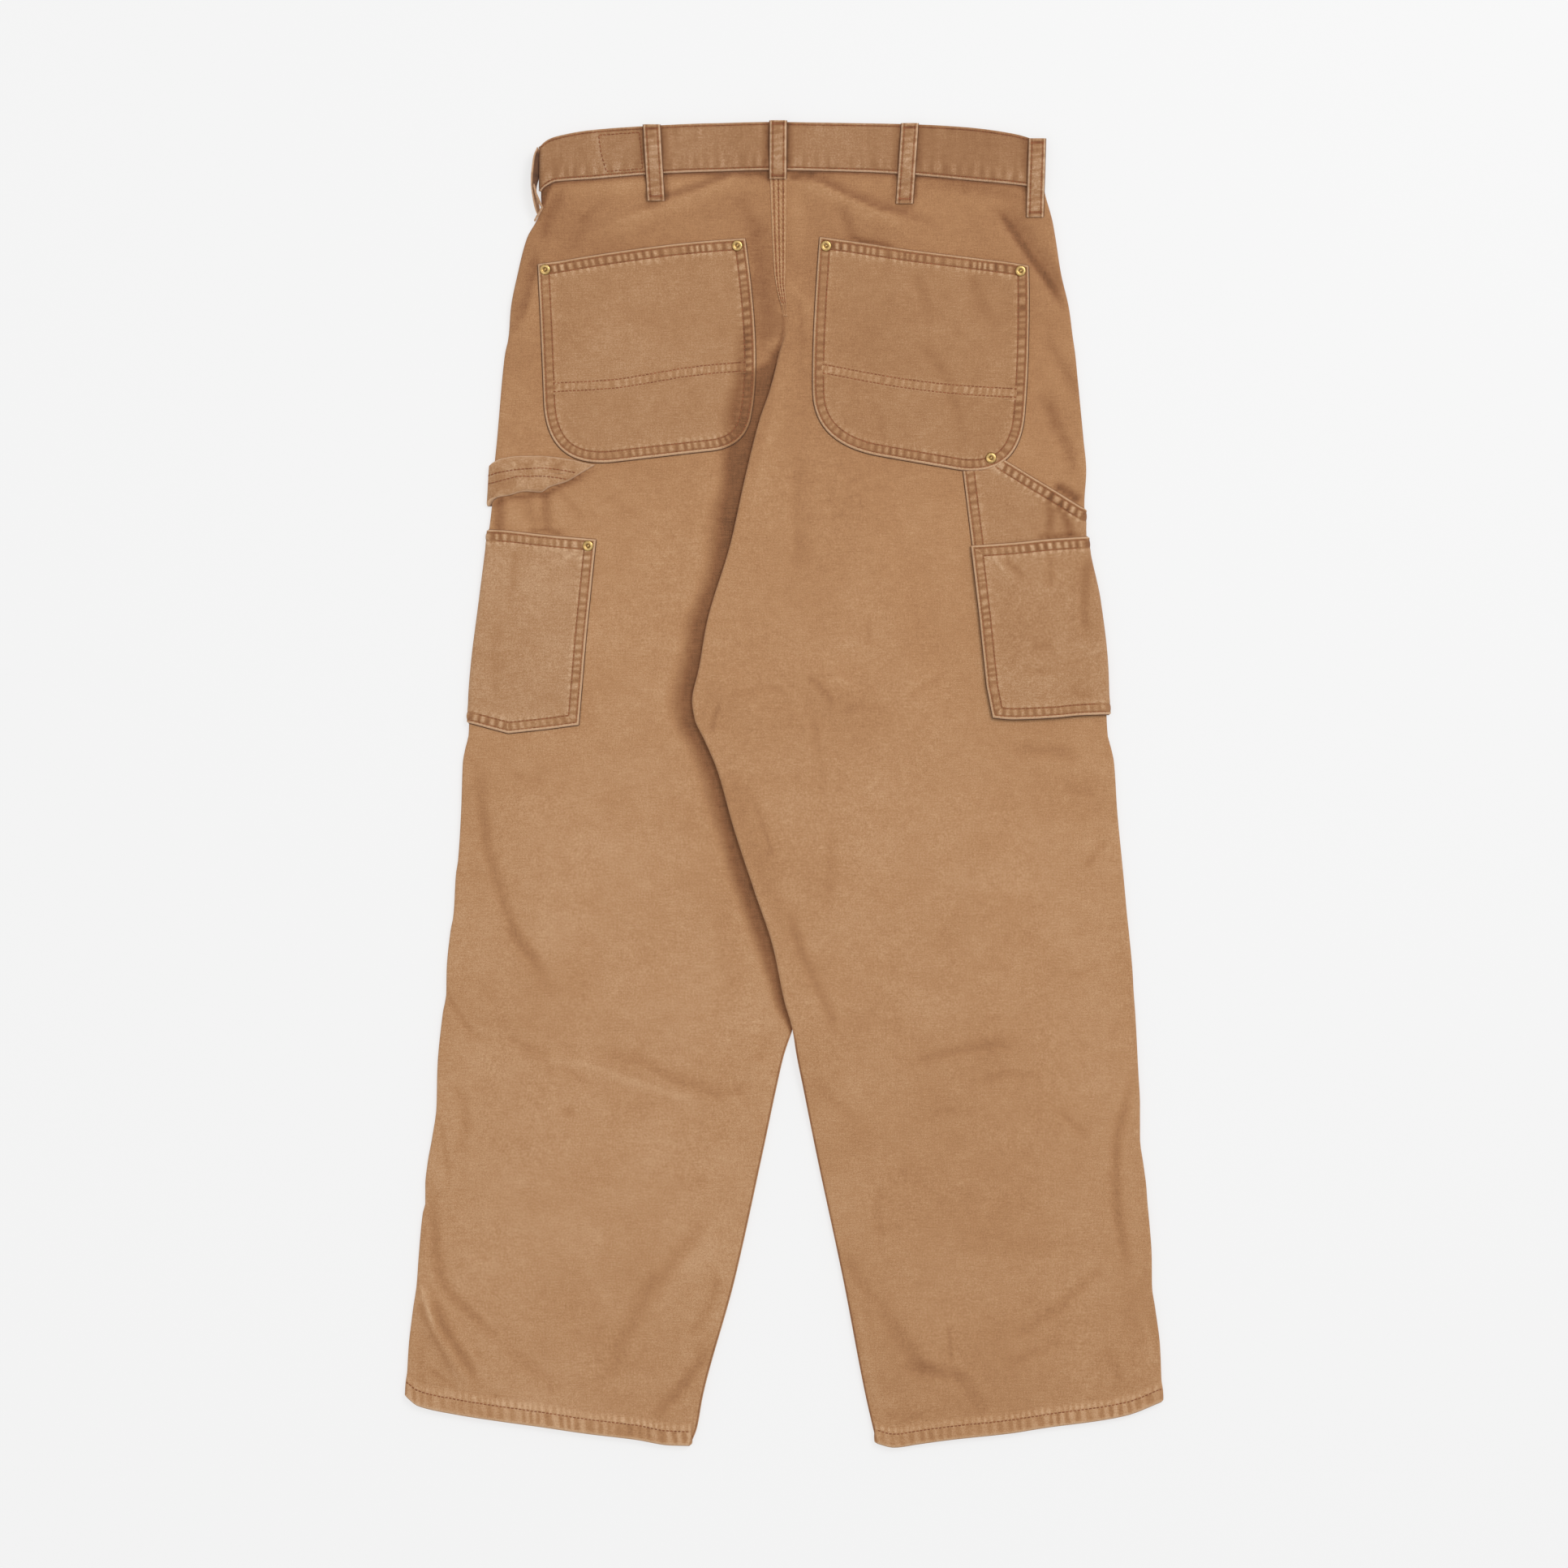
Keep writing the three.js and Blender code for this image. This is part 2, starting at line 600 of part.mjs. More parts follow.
// Belt loops that lie on the back of the band: centre of the top and bottom end.
const BELT_LOOPS = [
  { name: 'belt_loop_back_left', top: [-106, 528], foot: [-102.4, 466.7] },
  { name: 'belt_loop_centre', top: [-4.6, 530.9], foot: [-4.9, 484.3] },
  { name: 'belt_loop_back_right', top: [100.8, 529], foot: [96.5, 464.8] },
  { name: 'belt_loop_side_right', top: [202.8, 516.8], foot: [200.9, 453.7] },
];
const LOOP_STEPS = 10;
const LOOP_SLACK = 1.2;
const LOOP_SLACK_END = 0.7;
const LOOP_REACH = 3.2;

// The highest cloth under a belt loop near one point of its length.
function underLoop(x, y) {
  let highest = 0;
  for (const across of [-0.5, 0, 0.5]) {
    for (const along of [-LOOP_REACH, 0, LOOP_REACH]) {
      const atX = x + across * LOOP_WIDTH;
      const atY = y + along;
      const onBand = atY > bandLower(atX) - BAND_SEAM_GAP * 2;
      highest = Math.max(highest, onBand ? bandTop(atX, atY) : backHeight(atX, atY));
    }
  }
  return highest;
}

function beltLoop({ top, foot }) {
  const grids = { outer: [], inner: [] };
  for (let i = 0; i <= LOOP_STEPS; i += 1) {
    const share = i / LOOP_STEPS;
    const x = mix(top[0], foot[0], share);
    const y = mix(top[1], foot[1], share);
    const bow = LOOP_SLACK * Math.sin(Math.PI * Math.min(share / LOOP_SLACK_END, 1));
    const low = underLoop(x, y) + SEAM_GAP + bow;
    const line = (z) => [-0.5, 0.5].map((across) => new THREE.Vector3(x + across * LOOP_WIDTH, y, z));
    grids.outer.push(line(low + LOOP_WALL));
    grids.inner.push(line(low));
  }
  return wallGeometry(grids.outer, grids.inner);
}

// The left side loop stands on its edge against the side of the band, bowed outwards.
const SIDE_LOOP_BOW = [
  { y: 510, x: -197.4 },
  { y: 502, x: -199.4 },
  { y: 492, x: -200.9 },
  { y: 480, x: -201.4 },
  { y: 468, x: -200.9 },
  { y: 458, x: -199.4 },
  { y: 453, x: -198.6 },
];
const SIDE_LOOP = { low: 0.4, high: 11.6, lean: 1.4, wall: 1.4, tacked: 17 };

function standingLoop() {
  const ends = { top: SIDE_LOOP_BOW[0].y, foot: SIDE_LOOP_BOW.at(-1).y };
  const face = (offset) => SIDE_LOOP_BOW.map(({ y, x }) => [0, 1].map((up) => {
    const aboveFoot = ease(ends.foot, ends.foot + SIDE_LOOP.tacked, y);
    const free = aboveFoot * ease(ends.top, ends.top - SIDE_LOOP.tacked, y);
    const leaning = SIDE_LOOP.lean * (up - 0.5) * free;
    return new THREE.Vector3(x + offset + leaning, y, mix(SIDE_LOOP.low, SIDE_LOOP.high, up));
  }));
  return wallGeometry(face(0), face(SIDE_LOOP.wall));
}

function rivetGeometry() {
  const profile = [
    [0, 0],
    [RIVET.radius, 0],
    [RIVET.radius, RIVET.rim],
    [RIVET.ring, RIVET.crown],
    [RIVET.hole, RIVET.dimple],
    [0, RIVET.dimple],
  ].map(([radius, height]) => new THREE.Vector2(radius, height));
  return new THREE.LatheGeometry(profile, RIVET.sides).rotateX(Math.PI / 2);
}

const PATCH_TOP = SEAM_GAP + PATCH_WALL;
const RIVETS = [
  { name: 'rivet_pocket_left_outer', x: -191.2, y: 411.6 },
  { name: 'rivet_pocket_left_inner', x: -37.4, y: 431 },
  { name: 'rivet_pocket_right_inner', x: 33.7, y: 430.8 },
  { name: 'rivet_pocket_right_outer', x: 189.4, y: 410.6 },
  { name: 'rivet_pocket_right_corner', x: 165.8, y: 261 },
  { name: 'rivet_utility_left', x: -156.9, y: 190.6 },
];

// A rivet sits just above the highest point of the pocket under it.
function rivet({ name, x, y }) {
  const mesh = piece(name, rivetGeometry(), BRASS_MATERIAL);
  let seat = 0;
  for (let k = 0; k < RIVET.sides; k += 1) {
    const angle = (2 * Math.PI * k) / RIVET.sides;
    seat = Math.max(seat, backHeight(x + RIVET.radius * Math.cos(angle), y + RIVET.radius * Math.sin(angle)));
  }
  mesh.position.set(x, y, seat + PATCH_TOP + SEAM_GAP);
  return mesh;
}

function waistButton() {
  const profile = [
    [0, 0],
    [BUTTON.radius - BUTTON.bevel, 0],
    [BUTTON.radius, BUTTON.bevel],
    [BUTTON.radius, BUTTON.thickness - BUTTON.bevel],
    [BUTTON.radius - BUTTON.bevel, BUTTON.thickness],
    [0, BUTTON.thickness],
  ].map(([radius, height]) => new THREE.Vector2(radius, height));
  const mesh = piece('waist_button', new THREE.LatheGeometry(profile, BUTTON.sides), BRASS_MATERIAL);
  mesh.rotation.x = Math.PI / 2;
  mesh.position.set(BUTTON.x, BUTTON.y, 0);
  return mesh;
}

const pants = new THREE.Group();
for (const [name, { outer, inner }] of Object.entries(panels)) {
  pants.add(piece(name, wallGeometry(outer, inner), CLOTH_MATERIAL));
}
pants.add(piece('waistband', waistband(), BAND_MATERIAL));
for (const side of ['left', 'right']) {
  const shape = backPocketShape(BACK_POCKETS[side]);
  const solid = patchSolid(side, shape, SEAM_GAP, PATCH_WALL);
  pants.add(piece(`back_pocket_${side}`, toGeometry(solid), PATCH_MATERIAL));
}
const hammerLoop = patchSolid('left', outline(HAMMER_LOOP), 2 * SEAM_GAP, LOOP_WALL);
const utilityLeft = patchSolid('left', outline(UTILITY_LEFT), SEAM_GAP, PATCH_WALL);
const rulerPanel = patchSolid('right', outline(RULER_PANEL), SEAM_GAP, PATCH_WALL);
const utilityRight = patchSolid('right', outline(UTILITY_RIGHT), PATCH_TOP + SEAM_GAP, PATCH_WALL);
pants.add(
  piece('hammer_loop', toGeometry(hammerLoop.subtract(pocketCutter('left'))), PATCH_MATERIAL),
  piece('utility_pocket_left', toGeometry(utilityLeft), PATCH_MATERIAL),
  piece('ruler_pocket', toGeometry(rulerPanel.subtract(pocketCutter('right'))), PATCH_MATERIAL),
  piece('utility_pocket_right', toGeometry(utilityRight), PATCH_MATERIAL),
  ...BELT_LOOPS.map((loop) => piece(loop.name, beltLoop(loop), BAND_MATERIAL)),
  piece('belt_loop_side_left', standingLoop(), BAND_MATERIAL),
  ...RIVETS.map(rivet),
  waistButton(),
);

// The origin goes under the middle of the garment.
const middle = new THREE.Box3().setFromObject(pants).getCenter(new THREE.Vector3());
pants.position.set(-middle.x, -middle.y, 0);

export default pants;
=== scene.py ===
"""Carpenter pants in washed tan duck, laid flat with the back up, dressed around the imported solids.

Sizes are in millimetres, in the drawing's own axes: x to the right, y to the waist, both from the middle of
the picture, and z up from the surface. place() turns them into the frame's metres.
"""

import bmesh
import bpy
import numpy as np
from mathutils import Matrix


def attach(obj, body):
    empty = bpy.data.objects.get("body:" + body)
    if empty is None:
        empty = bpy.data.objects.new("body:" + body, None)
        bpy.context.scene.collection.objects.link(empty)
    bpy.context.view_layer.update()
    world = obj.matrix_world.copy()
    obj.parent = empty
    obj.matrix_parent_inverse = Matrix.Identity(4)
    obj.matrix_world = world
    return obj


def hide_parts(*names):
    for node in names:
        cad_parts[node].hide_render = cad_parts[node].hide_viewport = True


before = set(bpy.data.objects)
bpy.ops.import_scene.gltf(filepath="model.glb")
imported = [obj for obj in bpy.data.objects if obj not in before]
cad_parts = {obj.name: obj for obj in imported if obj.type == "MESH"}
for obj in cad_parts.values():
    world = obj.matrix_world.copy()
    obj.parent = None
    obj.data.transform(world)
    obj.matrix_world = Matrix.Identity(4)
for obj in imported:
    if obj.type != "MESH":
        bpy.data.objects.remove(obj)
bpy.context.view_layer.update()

MM = 0.001
PICTURE_TO_ORIGIN_Y = 0.373

# Cloth and the gaps between its layers, as in the solids
CLOTH = 1.2
SEAM_GAP = 0.3
LEG_SLACK = 0.9
SOFT_RISE = 1.0
SIDE_ROUND = 2.7
BAND_WALL = 2.4
BAND_ROUND = 3.6
BAND_SEAM_GAP = 0.6
BAND_FRONT_GAP = 0.6
PATCH_LIFT = 0.15
LAP = {"crotch": 372, "knee": -198, "clearance": 0.5, "axis_top": 0.9, "axis_foot": 6.6}
LAP_LIFT = 2 * CLOTH + LEG_SLACK + LAP["clearance"]
LAP_RAMP = {"start": 18, "end": 58, "top": 420, "full": 386, "foot": -205, "gone": -290}
LAP_FLAT = {"from": 40, "to": 8}
CROTCH_ROLL = {"open": 400, "closed": 372}
BUTTON = {"x": -14, "y": 510, "lift": 2.3, "flat": 10, "reach": 44}
FOLD_FADE = 0.25
TOP_ROW, HEM_ROW = 491, -530
TOP_BOW_REACH, HEM_BOW_REACH = 420, -430


def table(names, rows):
    """A small table of sizes as named columns."""
    return dict(zip(names.split(), np.array(rows, float).T))


SIDE_SEAMS = table("y left right", [
    (479, -194.8, 208), (470, -194.8, 210), (463, -194.2, 212), (452, -198.4, 215), (438, -206, 217.5),
    (409, -213.5, 222), (381, -219, 228.5), (358, -220.8, 231.5), (345, -223.6, 233.4),
    (329, -225.5, 235), (277, -230, 240),
    (251, -232.5, 242.3), (225, -234, 240.8), (199, -237, 241.3), (147, -243.5, 251), (95, -250, 257),
    (69, -252, 258), (40, -252.8, 259.4), (28, -255.6, 262.4), (17, -257.5, 264.6), (-20, -258.8, 267),
    (-62, -261.4, 271), (-72, -263, 272), (-105, -265, 275), (-118, -267.4, 276.4), (-150, -270.5, 279.4),
    (-168, -270.8, 280.4), (-184, -273.6, 281.6), (-230, -278, 284), (-258, -278.6, 285.4),
    (-284, -282.2, 285.4), (-304, -285.8, 288), (-322, -287.6, 290.4), (-336, -287.6, 291.4),
    (-344, -289.6, 292.2), (-380, -293, 294.8), (-402, -294.6, 295), (-420, -297.4, 297.6),
    (-451, -301, 301.5), (-491, -303, 303),
])
RIGHT_INNER = table("y x", [
    (492, -10.4), (413, -7), (392, -3.6), (379, -0.2), (366, 1), (346, -3.6), (315, -11.5), (292, -19.5),
    (248, -30.6), (192, -43), (128, -62), (93, -68), (66, -73.6), (51, -71.5), (35, -64), (10, -53.4),
    (-34, -41), (-87, -23.7), (-131, -9), (-174, 0), (-198, 6.8), (-217, 9.8), (-243, 15), (-295, 25.4),
    (-399, 47.5), (-490, 65), (-530, 74.2),
])
LEFT_LOWER_INNER = table("y x", [
    (-198, 6.4), (-217, 0), (-243, -6), (-295, -17), (-399, -40), (-490, -65), (-516, -69.8), (-530, -75.4),
])
BAND_OUTLINE = table("x lower upper", [
    (-195.5, 475, 511), (-190, 479.5, 515.5), (-183, 482.6, 518.5), (-154, 484.8, 523.8),
    (-110, 488.4, 527),
    (-60, 490.6, 529.2), (0, 491.6, 530), (67, 490.2, 529.2), (106, 487.8, 528.3), (146, 484, 526),
    (184, 480.4, 520.8), (208.5, 477.4, 513.5),
])
HEM_LEFT = table("x y", [
    (-303, -491), (-293, -498.5), (-262, -505.4), (-230, -510.4), (-194, -515.4), (-160, -520.4),
    (-119, -525.4), (-91, -530), (-75.4, -530.4),
])
HEM_RIGHT = table("x y", [
    (74.2, -528.5), (88, -531.7), (108, -529), (134, -525.5), (181, -520.4), (211.5, -515.6), (250, -510.6),
    (274.5, -506), (303, -495),
])

# Folds and creases as crest lines with their height and their reach on either side of the line. Left of
# the line's direction is above. The folds are in the solids too.
FOLDS = [
    ([(-160, 444), (-105, 465), (-62, 478), (-15, 484)], 2.4, 10, 34),
    ([(8, 480), (38, 477), (72, 461), (118, 448)], 2.4, 12, 34),
    ([(186, 466), (212, 432), (232, 380)], 2.2, 30, 16),
    ([(150, 452), (176, 436), (200, 404), (214, 372)], 1.6, 14, 30),
    ([(-182, 440), (-200, 396), (-214, 356)], 1.8, 12, 26),
    ([(-64, 92), (-40, 74), (-14, 44)], 1.2, 20, 24),
    ([(18, 104), (36, 78), (64, 60)], 1.4, 22, 26),
    ([(-294, -396), (-276, -440), (-250, -480)], 1.8, 22, 16),
    ([(-200, 20), (-190, -160), (-205, -330)], 1.6, 60, 60),
    ([(150, 20), (165, -160), (185, -330)], 1.6, 60, 60),
]
CREASES = [
    ([(-108, 465), (-67, 478), (-46, 489), (-18, 487)], 1.0, 4, 10),
    ([(4, 484), (26, 485), (57, 469), (87, 458), (120, 449)], 0.9, 4, 10),
    ([(-196, 405), (-207.6, 377), (-220.5, 353)], 0.7, 3, 9),
    ([(11, 384), (13, 364), (14, 342)], 0.35, 3, 5),
    ([(20, 302), (20.5, 286), (20, 268)], 0.25, 3, 3),
    ([(-191, 232), (-192, 216), (-190, 198)], -0.4, 4, 4),
    ([(-225, 232), (-225, 214), (-226, 200)], 0.7, 3, 7),
    ([(-55, 49), (-43, 67), (-24, 72)], 0.5, 6, 4),
    ([(21, 80), (36, 70), (37, 52)], 0.5, 5, 5),
    ([(37, 78), (58, 87), (74, 86)], 0.5, 5, 6),
    ([(-290, -402), (-281, -436), (-262, -466), (-248, -486)], 0.8, 3, 9),
    ([(58, -440), (66, -484), (78, -524)], -0.6, 4, 4),
]


# Painted light and shade on the cloth as strokes of the same form: shade in troughs and beside folds, loops
# and the strap, light along crests, with how much each darkens or lightens it. Darker strokes lie a little
# lower too.
SHADES = [
    ([(-128, 452), (-97, 468), (-60, 480.5), (-40, 489.3), (-24, 488.5), (-8, 481)], -0.52, 8, 1.6),
    ([(-98, 476), (-78, 484), (-56, 487)], 0.22, 5, 6),
    ([(-29, 374), (-30, 356), (-31.5, 345), (-32.5, 335), (-33, 325), (-33, 312)], -0.8, 7, 12),
    ([(0, 356), (-8, 300), (-21, 250), (-34, 200)], 0.22, 24, 2),
    ([(9, 482), (10, 450), (13, 420)], 0.22, 12, 10),
    ([(-172, 432), (-120, 456), (-97, 464), (-60, 477), (-40, 485), (-12, 475)], 0.4, 2.5, 15),
    ([(-20, 491), (-14, 487), (-10, 482)], -0.8, 5, 4),
    ([(2, 490), (8, 485), (16, 488), (26, 487)], -0.8, 5, 3),
    ([(-186, 482), (-190, 472), (-193, 462)], -1.3, 1, 8),
    ([(-188, 476), (-150, 479), (-108, 482), (-60, 486)], 0.26, 10, 14),
    ([(-110.8, 500), (-110.4, 482), (-110, 464)], -0.5, 3, 3),
    ([(-95, 500), (-94.8, 482), (-94.4, 462)], -0.75, 4, 3),
    ([(88.8, 498), (88.6, 481), (88.2, 462)], -0.5, 3, 3),
    ([(105, 498), (104.8, 481), (104.4, 461)], -0.75, 4, 3),
    ([(192.8, 488), (192.8, 470), (192.6, 452)], -0.5, 3, 3),
    ([(-112, 463.5), (-102, 463), (-93, 462.5)], -0.5, 2, 3),
    ([(87, 461.8), (97, 461.2), (106, 460.6)], -0.5, 2, 3),
    ([(-196, 432), (-198, 414), (-202, 400), (-207, 378), (-221, 354)], -0.48, 2, 12),
    ([(-190, 420), (-197, 398), (-203, 376), (-216, 354)], 0.2, 12, 4),
    ([(-176, 480), (-186, 457), (-195, 434)], -0.34, 8, 8),
    ([(-152, 460), (-163, 446), (-172, 422)], -0.22, 9, 9),
    ([(-134, 474), (-150, 462), (-170, 447)], -0.2, 6, 6),
    ([(-38, 478), (-28, 456), (-16, 434)], -0.25, 12, 12),
    ([(-25, 456), (-19, 410), (-13, 372), (-16, 336)], -0.46, 18, 14),
    ([(-31, 404), (-28, 386), (-27, 360)], -0.2, 8, 10),
    ([(-16, 350), (-9, 354), (-1, 359)], 0.5, 3, 6),
    ([(-238, 222), (-222, 230), (-206, 233), (-192, 233), (-177, 241.5), (-164, 247),
      (-148, 257)], -1.1, 1, 6),
    ([(-229, 238), (-228.5, 216), (-228.5, 196)], -0.85, 9, 7),
    ([(-191, 240), (-191.5, 218), (-189, 198)], -0.6, 8, 6),
    ([(-208, 234), (-204, 218), (-196, 204)], -0.3, 8, 8),
    ([(-184, 240), (-172, 226), (-158, 208)], -0.25, 5, 5),
    ([(-146, 234), (-130, 222), (-112, 212)], -0.2, 5, 5),
    ([(-208, 202), (-190, 201.5), (-174, 199.5)], -1.0, 5, 1),
    ([(-214, 192), (-217, 162), (-222, 138)], -0.22, 6, 6),
    ([(-224, 144), (-232, 110), (-230, 56)], -0.14, 8, 8),
    ([(-180, 178), (-172, 183), (-164, 186)], 0.4, 2.5, 2.5),
    ([(-250, 26), (-243, -10), (-238, -52), (-226, -90), (-216, -120), (-199, -142),
      (-186, -160)], -0.42, 9, 7),
    ([(-222, 14), (-208, 4), (-190, 4)], -0.18, 5, 5),
    ([(-232, -112), (-214, -124), (-196, -152), (-180, -176)], -0.16, 10, 10),
    ([(-210, -216), (-160, -224), (-125, -237), (-90, -248), (-60, -258)], 0.26, 4, 7),
    ([(-160, -214), (-118, -222), (-84, -239), (-50, -250), (-12, -240)], -0.32, 12, 5),
    ([(-226, -200), (-204, -212), (-184, -224)], -0.24, 7, 7),
    ([(-180, -226), (-168, -232), (-152, -242)], -0.2, 4, 4),
    ([(-272, -160), (-266, -174), (-258, -186), (-248, -200), (-228, -206)], -0.34, 2, 6),
    ([(-268, -236), (-256, -252), (-254, -276), (-262, -304)], -0.26, 7, 7),
    ([(-280, -262), (-274, -276), (-270, -300), (-267, -330)], -0.24, 4, 4),
    ([(-52, -80), (-44, -140), (-42, -184)], -0.2, 16, 16),
    ([(-24, -226), (-14, -206), (0, -192)], -0.18, 7, 7),
    ([(-284, -304), (-280, -345), (-278, -380), (-272, -402), (-257, -418), (-238, -437),
      (-218, -458)], -0.42, 7, 8),
    ([(-284, -398), (-275, -430), (-263, -450), (-252, -466), (-244, -488)], -0.6, 7, 6),
    ([(-295, -402), (-289, -424), (-282, -440), (-272, -458), (-262, -482)], -0.4, 3, 4),
    ([(-292, -398), (-286, -418), (-280, -436)], 0.6, 3, 2),
    ([(-288, -466), (-276, -474), (-260, -487)], -0.35, 3, 3),
    ([(-292, -450), (-290, -470), (-290, -486)], -0.25, 5, 5),
    ([(-226, -450), (-208, -463), (-190, -478), (-176, -496)], -0.24, 8, 8),
    ([(-48, -326), (-70, -356), (-92, -386), (-110, -406), (-122, -430), (-136, -466),
      (-160, -498)], -0.28, 10, 12),
    ([(-50, -386), (-60, -420), (-76, -446)], -0.26, 8, 8),
    ([(-56, -446), (-72, -469), (-88, -490), (-108, -512)], -0.5, 8, 9),
    ([(-46, -340), (-84, -392), (-118, -452)], 0.14, 22, 4),
    ([(0, 484), (15, 486.5), (30, 482), (50, 472), (75, 461), (95, 456), (130, 444)], -0.66, 12, 1.6),
    ([(4, 480), (28, 480), (50, 468.5), (76, 457.5), (124, 441)], 0.35, 2.5, 14),
    ([(46, 468), (51, 450), (58, 432)], -0.38, 8, 8),
    ([(50, 437), (62, 434.5), (76, 432), (92, 428)], -1.0, 5, 1),
    ([(108, 480), (140, 479), (170, 474), (200, 470)], -0.36, 7, 8),
    ([(164, 466), (176, 454), (184, 442), (192, 430), (200, 418), (208, 408), (217, 394),
      (228, 374)], -1.0, 5, 5),
    ([(170, 470), (186, 448), (200, 426), (214, 406), (228, 376)], -0.42, 16, 9),
    ([(206, 366), (218, 345), (228, 325), (240, 306)], -0.32, 9, 8),
    ([(208, 318), (216, 296), (228, 268), (236, 240)], -0.5, 8, 10),
    ([(214, 240), (226, 232), (238, 224)], -1.6, 9, 2),
    ([(114, 376), (115, 348), (128, 330), (136, 310), (142, 285), (144, 256)], -0.22, 9, 9),
    ([(100, 414), (112, 392), (118, 366)], -0.2, 8, 8),
    ([(148, 414), (158, 388), (170, 362)], -0.3, 8, 8),
    ([(72, 306), (78, 290), (80, 276)], -0.16, 6, 6),
    ([(10, 392), (14, 366), (14.5, 340)], -0.3, 5, 3),
    ([(2, 404), (10, 396), (20, 384), (27, 366)], 0.25, 3, 9),
    ([(8, 276), (8, 230), (9, 196), (7, 160)], -0.26, 20, 2),
    ([(16, 88), (28, 79), (36, 71), (40, 58)], -0.55, 3.5, 3.5),
    ([(34, 83), (44, 82), (56, 79)], 0.4, 3, 3),
    ([(-58, 36), (-56, 53), (-50, 66)], -0.45, 3.5, 3.5),
    ([(-48, 68), (-28, 74), (-10, 77), (8, 72)], -0.2, 5, 5),
    ([(68, 138), (68, 122), (66, 108)], -0.26, 4, 4),
    ([(96, 62), (108, 77), (130, 86)], -0.24, 4, 4),
    ([(22, 70), (25, 40), (30, 10), (34, -28)], -0.2, 6, 6),
    ([(40, 62), (62, 62), (100, 58)], -0.16, 5, 5),
    ([(-28, -4), (-18, -30), (-12, -46), (-8, -64)], -0.36, 4, 3.5),
    ([(38, -20), (37, -70), (34, -104)], -0.2, 7, 7),
    ([(2, -90), (8, -115), (15, -138), (27, -164), (36, -184), (42, -208)], -0.4, 8, 6),
    ([(-56, 30), (-34, -30), (-4, -104), (18, -170)], -0.18, 20, 12),
    ([(176, 30), (206, 27), (244, 25)], -0.28, 11, 11),
    ([(222, -2), (236, -6), (254, -8)], -0.2, 6, 6),
    ([(212, 236), (214, 216), (211, 196)], -0.7, 6, 6),
    ([(216, 230), (226, 212), (231, 196)], -0.9, 6, 5),
    ([(200, 196.5), (216, 197.5), (240, 199.5)], -0.9, 5, 1),
    ([(245, 190), (240, 156), (242, 112)], -0.42, 6, 6),
    ([(212, 188), (214, 172), (213, 156)], -0.28, 5, 5),
    ([(166, 182), (172, 176), (178, 168)], 0.45, 2.5, 2.5),
    ([(176, 180), (184, 173), (194, 165)], -0.4, 4, 4),
    ([(196, 114), (206, 111), (218, 111)], -0.24, 6, 6),
    ([(178, 86), (200, 90), (222, 91)], -0.24, 5, 5),
    ([(238, 104), (248, 105), (258, 109)], 0.35, 2, 2),
    ([(228, 78), (238, 72), (250, 70)], -0.26, 6, 6),
    ([(94, -226), (125, -217), (150, -212), (170, -208), (190, -216)], -0.36, 8, 5),
    ([(154, -238), (180, -231), (210, -234)], -0.22, 6, 6),
    ([(216, -258), (230, -270), (248, -286)], -0.3, 5, 5),
    ([(262, -42), (250, -55), (240, -70)], -0.3, 5, 5),
    ([(26, -242), (40, -254), (60, -266)], -0.2, 8, 8),
    ([(110, -264), (132, -261), (160, -262)], -0.16, 6, 6),
    ([(226, -152), (240, -152), (252, -142)], -0.18, 5, 5),
    ([(280, -226), (273, -258), (267, -284), (266, -312), (267, -342), (273, -372),
      (275, -404)], -0.5, 7, 7),
    ([(268, -384), (246, -395), (232, -408), (218, -420), (198, -433), (176, -446)], -0.25, 8, 8),
    ([(230, -444), (202, -454), (172, -468)], -0.2, 7, 7),
    ([(256, -446), (264, -462), (274, -486)], -0.2, 7, 7),
    ([(48, -376), (60, -396), (74, -416)], -0.24, 9, 9),
    ([(74, -396), (84, -430), (98, -450), (112, -465), (130, -474)], -0.34, 11, 10),
    ([(92, -462), (112, -470), (130, -472), (150, -474)], -0.42, 9, 10),
    ([(134, -470), (150, -486), (164, -510)], -0.26, 10, 9),
    ([(131, -432), (133, -450), (135, -466)], -0.4, 3, 3),
    ([(74, -320), (76, -350), (80, -380)], -0.16, 5, 5),
    ([(78, -504), (98, -508), (120, -504)], -0.26, 7, 7),
    ([(52, -396), (62, -444), (70, -482), (80, -516)], 0.2, 9, 2),
    ([(286, -420), (292, -440), (298, -470)], 0.2, 4, 6),
]
# Small round spots, darker or lighter, laid into the same sheet as the strokes
SPOTS = [(-172, -263, 7, -0.3), (-231, -491, 2.5, -0.6), (282, -279, 2.5, 0.6), (-245, -456, 4, -0.3)]
# The shadow that the lap throws on the left leg: its dark part's width and its soft width from the fold
LAP_SHADOW = table("y dark soft", [
    (376, 0, 3), (350, 0, 5), (338, 2, 14), (328, 16, 34), (315, 34, 39), (300, 30, 37), (290, 26, 34),
    (280, 18, 33), (270, 20, 32), (255, 18, 28), (240, 13, 25), (220, 13, 28),
    (200, 10, 27), (180, 6, 22), (160, 5, 20), (140, 9, 22), (120, 11, 22), (100, 6, 22), (80, 7, 24),
    (60, 6, 24), (40, 9, 22), (20, 7, 21), (0, 6, 21), (-20, 5, 21), (-40, 7, 19), (-60, 9, 19),
    (-80, 11, 21), (-120, 11, 19), (-140, 9, 17), (-160, 5, 13), (-180, 4, 11), (-196, 1, 5), (-204, 0, 2),
])
LAP_SHADOW_DEPTH = 1.3


def mix(a, b, share):
    """The value that lies a given share of the way from the first to the second."""
    return a + (b - a) * share


def ease(start, end, value):
    """0 at start and 1 at end, smooth between and flat beyond."""
    share = np.clip((value - start) / (end - start), 0, 1)
    return share * share * (3 - 2 * share)


